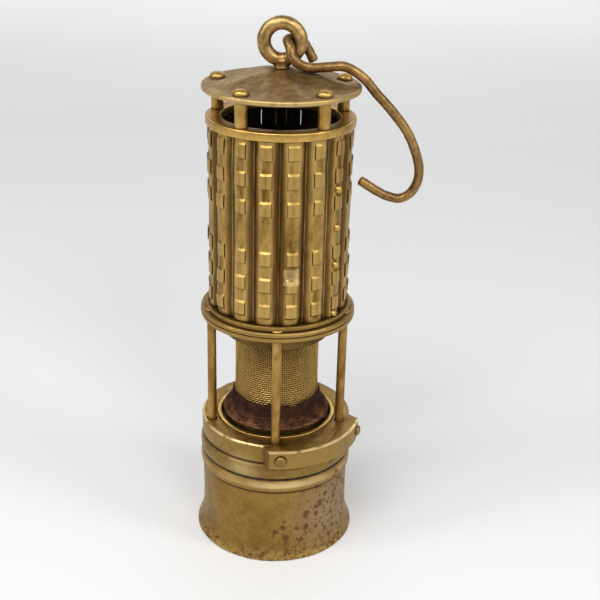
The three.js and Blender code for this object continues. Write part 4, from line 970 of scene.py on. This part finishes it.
def bonnet_shell():
    rows, columns = bonnet_rows(), len(ACROSS) * FLUTES
    verts = [bonnet_point(k // len(ACROSS), ACROSS[k % len(ACROSS)], height, rise)
            for height, rise, _ in rows for k in range(columns)]
    edges_of_slits = (ACROSS.index(-SLIT_HALF), ACROSS.index(LOUVRE_HALF))
    faces = []
    for number, face in enumerate(quads(len(rows), columns)):
        height, _, slit = rows[number // columns]
        flute, strip = divmod(number % columns, len(ACROSS))
        torn = flute == SEAM_FLUTE and strip >= len(ACROSS) - 2 and seam_open(height)
        if not torn and not (slit and strip in edges_of_slits):
            faces.append(face)
    obj = bare("bonnet_sheet", (verts, faces))
    tidy_normals(obj.data)
    wall = obj.modifiers.new("thickness", "SOLIDIFY")
    wall.thickness = SHEET * MM
    wall.offset = -1
    wall.material_offset = 1
    obj.data.materials.append(BONNET_LOOK)
    obj.data.materials.append(SOOT_LOOK)
    applied(obj)
    dressed(obj, BONNET_LOOK, "cage", ["bonnet_shell"], sharp=27)


def seam_open(height):
    share = (height - BONNET_BOTTOM) / (BONNET_TOP - BONNET_BOTTOM)
    return 0.07 < share < 0.19 or 0.36 < share < 0.9


def rivet(name, degrees, height, size, nodes=()):
    face = CREST - 0.3
    head = dome(size, face + 0.3, size)
    shape = lathe([(0, face - 2), (1.1, face - 2), (1.1, face - 0.2), (size, face - 0.2), *head,
            (0, face + 0.3 + size)], ROD_SIDES)
    make(name, outward(shape, degrees, height), POST_LOOK, nodes)


def top_ring():
    bottom, top, outer = TOP_RING_BOTTOM, TOP_RING_TOP, TOP_RING_RADIUS
    profile = [(outer - 7.9, bottom), (outer, bottom), (outer, top), (outer - 7.9, top)]
    make("top_ring_brass", lathe(profile, soft=0.9), LIT_TOP_LOOK, ["bonnet_top_ring"],
         cut=holes(POSTS, 2.5, bottom - 1, top + 1), warp=0.25)


def cap_post(i, place):
    bottom, top = TOP_RING_TOP + GAP, CAP_BOTTOM - GAP
    head = CAP_RIM + GAP
    riveted = dome(4, head + 0.6, 2.2, power=0.8)
    barrel = [(3.175, bottom + (top - bottom) * k / 5) for k in range(6)]
    shape = lathe([(0, TOP_RING_BOTTOM + GAP), (2.2, TOP_RING_BOTTOM + GAP), (2.2, bottom), *barrel,
            (2.2, top), (2.2, head), (4, head), *riveted, (0, head + 2.8)], ROD_SIDES)
    make(f"cap_post_{i}_brass", placed(shape, place), POST_LOOK, [f"cap_post_{i}"], warp=0.15)


def cap_height(radius, degrees):
    """The dome spreads out towards the rim between the posts, and ends short of each rivet."""
    aside = abs((degrees - bearing(POSTS[0]) + 36) % 72 - 36) / 36
    land = CAP_RADIUS - 9.4 + 7.6 * (0.5 - 0.5 * cos(pi * min(1, max(0, (aside - 0.15) / 0.65))))
    share = min(1, max(0, (radius - 5) / (land - 5)))
    return (CROWN - CAP_RIM) * (1 - share) * (1 + 0.75 * share * (1 - share))


def cap():
    def shaped(radius, height, degrees):
        if height > CAP_RIM + 50:
            return radius, height - 100 + cap_height(radius, degrees)
        if height < CAP_BOTTOM - 50:
            under = cap_height(radius, degrees) - (0 if radius > CAP_RADIUS - 9.2 else 2.2)
            return radius, height + 100 + max(0, under)
        return radius, height

    bore, rim = 3.3, CAP_RADIUS
    steps = [bore + (rim - 1.2 - bore) * i / 34 for i in range(35)]
    top = [(r, CAP_RIM + 100) for r in steps]
    edge = [(rim - 0.5, CAP_RIM - 0.15), (rim - 0.1, CAP_RIM - 0.6), (rim, CAP_RIM - 1.1),
            (rim, CAP_BOTTOM + 0.4), (rim - 0.3, CAP_BOTTOM)]
    below = [(r, CAP_BOTTOM - 100) for r in reversed(steps) if r < CAP_RADIUS - 9.2]
    shape = lathe(top + edge + [(CAP_RADIUS - 9.2, CAP_BOTTOM)] + below, shift=shaped)
    make("cap_bronze", shape, CAP_LOOK, ["cap"],
         cut=holes(POSTS, 2.5, CAP_BOTTOM - 1, CAP_RIM + 2), warp=0.2)


# ---- Gauze ----
def gauze_radius(z):
    return reach("gauze_outer") - 0.3 - GAUZE_TAPER * (z - GAUZE_BOTTOM)


def wire_run(points, closed):
    """A thin four-sided wire along points that lie round the axis."""
    verts = []
    for place, along in points:
        out = Vector((place.x, place.y, 0)).normalized()
        across = along.cross(out)
        for side in (out, across, -out, -across):
            verts.append(place + side * GAUZE_WIRE)
    rows = len(points)
    faces = quads(rows, 4, closed)
    if not closed:
        faces += [(3, 2, 1, 0), tuple(4 * rows - 4 + k for k in range(4))]
    return verts, faces


def gauze_cloth():
    """Woven wire: upright and level wires that pass over and under one another."""
    runs = []
    pitch = (GAUZE_TOP - 0.6 - GAUZE_BOTTOM) / GAUZE_ROWS
    heights = [GAUZE_BOTTOM + 0.3 + pitch * j for j in range(GAUZE_ROWS)]
    for i in range(GAUZE_WIRES):
        degrees = 360 * i / GAUZE_WIRES
        line = [polar(gauze_radius(z) + GAUZE_WIRE * (-1) ** (i + j), degrees, z)
                for j, z in enumerate(heights)]
        up = (line[-1] - line[0]).normalized()
        runs.append(wire_run([(p, up) for p in line], False))
    for j, z in enumerate(heights):
        ring = []
        for i in range(GAUZE_WIRES):
            degrees = 360 * i / GAUZE_WIRES
            radius = gauze_radius(z) - GAUZE_WIRE * (-1) ** (i + j)
            ring.append((polar(radius, degrees, z), polar(1, degrees + 90)))
        runs.append(wire_run(ring, True))
    make("gauze_cloth", together(runs), GAUZE_LOOK, ["gauze_outer"], "gauze")
    lid = gauze_radius(GAUZE_TOP)
    crown = [(0, GAUZE_TOP), (lid, GAUZE_TOP), (lid, GAUZE_TOP - 2.5), (lid - 0.5, GAUZE_TOP - 2.5),
            (lid - 0.5, GAUZE_TOP - 0.5), (0, GAUZE_TOP - 0.5)]
    make("gauze_crown", lathe(crown), GAUZE_LOOK, body="gauze")


def gauze_foot():
    bottom, top = span("gauze_foot_ring")
    outer = reach("gauze_foot_ring")

    def frayed(radius, height, degrees):
        spot = polar(radius, degrees, height)
        rough = 0.45 * noise.noise(spot * 0.5) + 0.3 * noise.noise(spot * 1.3)
        if height > top - 1:
            height += 2.2 * noise.noise(spot * 0.16) - 0.8
        return radius + rough * (radius > gauze_radius(height) + 0.6), height + 0.2 * noise.noise(spot * 0.9)

    wall = [(gauze_radius(z) + 1.3 + 0.5 * (1 - (z - bottom) / 13), z)
            for z in (bottom + 6, bottom + 8, bottom + 10, top)]
    inner = [(gauze_radius(z) + 0.5, z) for z in (top, bottom + 8, bottom)]
    skirt = [(outer - inset, bottom + rise) for inset, rise in (
        (1.2, 0), (0.3, 0.3), (0, 0.9), (0.6, 1.8), (1.8, 2.9), (2.6, 4.2))]
    make("gauze_foot_rust", lathe(skirt + wall + inner, 220, shift=frayed), RUST_LOOK,
         ["gauze_foot_ring"], "gauze")


# ---- Eye and hook ----
def eye():
    ring = []
    sides, steps = 28, 72
    for i in range(steps):
        a = 2 * pi * i / steps
        for k in range(sides):
            b = 2 * pi * k / sides
            size, side = EYE_RADIUS + EYE_SECTION * cos(b), EYE_SECTION * sin(b)
            ring.append(Vector((size * cos(a), side, EYE_HEIGHT + size * sin(a))))
    throat = EYE_HEIGHT - EYE_RADIUS
    shank = span("eye_bolt")[0]
    neck = lathe([(0, shank), (3, shank), (3, CROWN + GAP), (4.1, CROWN + GAP), (3.7, CROWN + 1.6),
            (3.6, throat - 1.5), (4.3, throat), (0, throat + 1)], ROD_SIDES)
    obj = bare("eye_bronze", (ring, quads(steps, sides, True)))
    combined(obj, neck, "UNION")
    melt = obj.modifiers.new("melt", "REMESH")
    melt.mode = "VOXEL"
    melt.voxel_size = EYE_VOXEL * MM
    ease = obj.modifiers.new("ease", "SMOOTH")
    ease.factor = 0.5
    ease.iterations = 6
    applied(obj)
    warped(obj, 0.25, 0.2)
    dressed(obj, EYE_LOOK, "eye", ["eye_bolt"], sharp=80)


def loop_point(turn):
    """A point of the wire's loop round the eye's section."""
    s, c = sin(radians(turn)), cos(radians(turn))
    lean = radians(6 + 23 * s - 36 * s * s)
    loop = EYE_SECTION + HOOK_WIRE + 0.5
    out = EYE_RADIUS - loop * c
    return Vector((out * cos(lean), loop * s, EYE_HEIGHT + out * sin(lean)))


def blend(a, b, start, end, u):
    return a * ((end - u) / (end - start)) + b * ((u - start) / (end - start))


def catmull(stations, steps):
    """Points of the centripetal Catmull-Rom curve through stations."""
    ends = [stations[0] * 2 - stations[1], *stations, stations[-1] * 2 - stations[-2]]
    out = []
    for i in range(1, len(ends) - 2):
        quad = ends[i - 1:i + 3]
        t = [0.0]
        for a, b in zip(quad, quad[1:]):
            t.append(t[-1] + max(1e-4, (b - a).length) ** 0.5)
        for k in range(steps):
            u = t[1] + (t[2] - t[1]) * k / steps
            line = [blend(quad[j], quad[j + 1], t[j], t[j + 1], u) for j in range(3)]
            bend = [blend(line[j], line[j + 1], t[j], t[j + 2], u) for j in range(2)]
            out.append(blend(bend[0], bend[1], t[1], t[2], u))
    return out + [stations[-1]]


def hook():
    tip = TOP_RING_RADIUS + 3.4
    drop = ((0.6, -3.8), (7, -10.9), (15, -19.3), (24, -30.8), (29, -41.5), (31.2, -50), (30.6, -57),
            (27.6, -62.7), (22.2, -65.8), (15.4, -64.7))  # out from the cap's rim, up from its crown
    stations = [(15.6, 6.4, CROWN + 3.2), (13.4, 6.5, CROWN + 7.4),
            *[loop_point(turn) for turn in (98, 70, 40, 10, -20, -50, -85)],
            (9.6, -5.8, CROWN + 3),
            *[(x, y, CROWN + 1.6) for x, y in ((14.5, -4.2), (22, -1.8), (31.5, 0))],
            *[(CAP_RADIUS + out, 0, CROWN + up) for out, up in drop],
            (tip + 7.5, 0, CROWN - 61.5), (tip, 0, CROWN - 56.8)]
    path = catmull([Vector(s) for s in stations], 9)
    make("hook_bronze", swept(path, HOOK_WIRE, 24, 0.35, 0.14), HOOK_LOOK, ["hook"], "hook",
         sharp=60)


# ---- Inner nodes that keep their CAD shape ----
KEPT = (
    (FONT_LOOK, ("wick_key_tube", "relighter_tube")),
    (COTTON_LOOK, ("fuel_packing",)),
    (RING_LOOK, ("burner_plug", "wick_tube", "flint_holder")),
    (CHARRED_LOOK, ("wick",)),
    (STEEL_LOOK, ("wick_carrier", "wick_screw", "relighter_shaft", "striker_wheel", "flint_spring",
                  "lock_pin", "lock_pawl", "lock_spring", "eye_nut")),
    (FLINT_LOOK, ("flint",)),
    (LEATHER_LOOK, ("filler_washer", "font_gasket")),
    (INNER_GAUZE_LOOK, ("gauze_inner",)),
)


def refinish(node, look):
    """A better material for a CAD node that keeps its shape."""
    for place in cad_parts[node].material_slots:
        place.material = look


def stage():
    x = FLOOR_SIZE / 2
    floor = bare("floor", ([(-x, -x, 0), (x, -x, 0), (x, x, 0), (-x, x, 0)], [(0, 1, 2, 3)]))
    floor.location.z = -FLOOR_DROP * MM
    n = Nodes("paper")
    tint = n.ramp(n.noise(1.2, 2), (0.3, (0.74, 0.74, 0.745)), (0.7, (0.78, 0.78, 0.775)))
    floor.data.materials.append(n.finish(tint, n.mapped(n.noise(300, 2), 0.3, 0.7, 0.85, 0.95), 0.0))


def softbox(name, place, target, size, watts):
    light = bpy.data.lights.new(name, "AREA")
    light.shape = "RECTANGLE"
    light.size, light.size_y = size
    light.energy = watts
    obj = linked(name, light)
    obj.location = place
    obj.rotation_euler = (Vector(target) - Vector(place)).to_track_quat("-Z", "Y").to_euler()


def light_studio():
    world = bpy.data.worlds.new("studio")
    world.use_nodes = True
    backdrop = world.node_tree.nodes["Background"]
    backdrop.inputs["Color"].default_value = (1.0, 1.0, 1.0, 1)
    backdrop.inputs["Strength"].default_value = WORLD_STRENGTH
    bpy.context.scene.world = world
    aim = (0, 0, 0.15)
    softbox("key", (-0.35, -0.75, 1.25), aim, (0.7, 0.5), 9)
    softbox("fill", (0.42, -0.95, 0.95), aim, (0.4, 0.4), 4)
    softbox("left", (-0.95, -0.4, 0.85), aim, (0.3, 1.0), 4.5)
    softbox("right", (0.95, -0.45, 0.85), aim, (0.3, 1.0), 4.5)
    softbox("backdrop", (0, 2.2, 1.5), (0, 2.4, 0), (3.5, 1.0), 30)


def camera():
    lens = bpy.data.cameras.new("camera")
    lens.lens = CAMERA_LENS
    lens.sensor_width = CAMERA_SENSOR
    obj = linked("camera", lens)
    tilt = Matrix.Rotation(radians(90 - CAMERA_PITCH), 4, "X")
    roll = Matrix.Rotation(radians(CAMERA_ROLL), 4, "Z")
    obj.matrix_world = Matrix.Translation(CAMERA_PLACE) @ tilt @ roll
    bpy.context.scene.camera = obj


font_shell()
font_bottom()
font_neck()
knob("wick_knob", "wick_key")
knob("relighter_knob", "relighter")
filler()
base_ring()
lock_cover()
for screw in LOCK_SCREWS:
    lock_screw(screw)
seat_ring()
for number, post_place in enumerate(PILLARS, 1):
    pillar(number, post_place)
frame_ring()
glass_collar()
bonnet_ring()
bonnet_shell()
for number in (1, 2, 3):
    seam_rivet = f"bonnet_rivet_{number}"
    rivet(f"{seam_rivet}_brass", *facing(seam_rivet), SEAM_RIVET, [seam_rivet])
rivet("bonnet_foot_rivet", FOOT_RIVET_AT, BONNET_BOTTOM + 2, FOOT_RIVET)
top_ring()
for number, post_place in enumerate(POSTS, 1):
    cap_post(number, post_place)
cap()
gauze_cloth()
gauze_foot()
eye()
hook()
for inner_look, inner_nodes in KEPT:
    for inner_node in inner_nodes:
        refinish(inner_node, inner_look)
stage()
light_studio()
camera()
bpy.context.scene.view_settings.view_transform = "Standard"
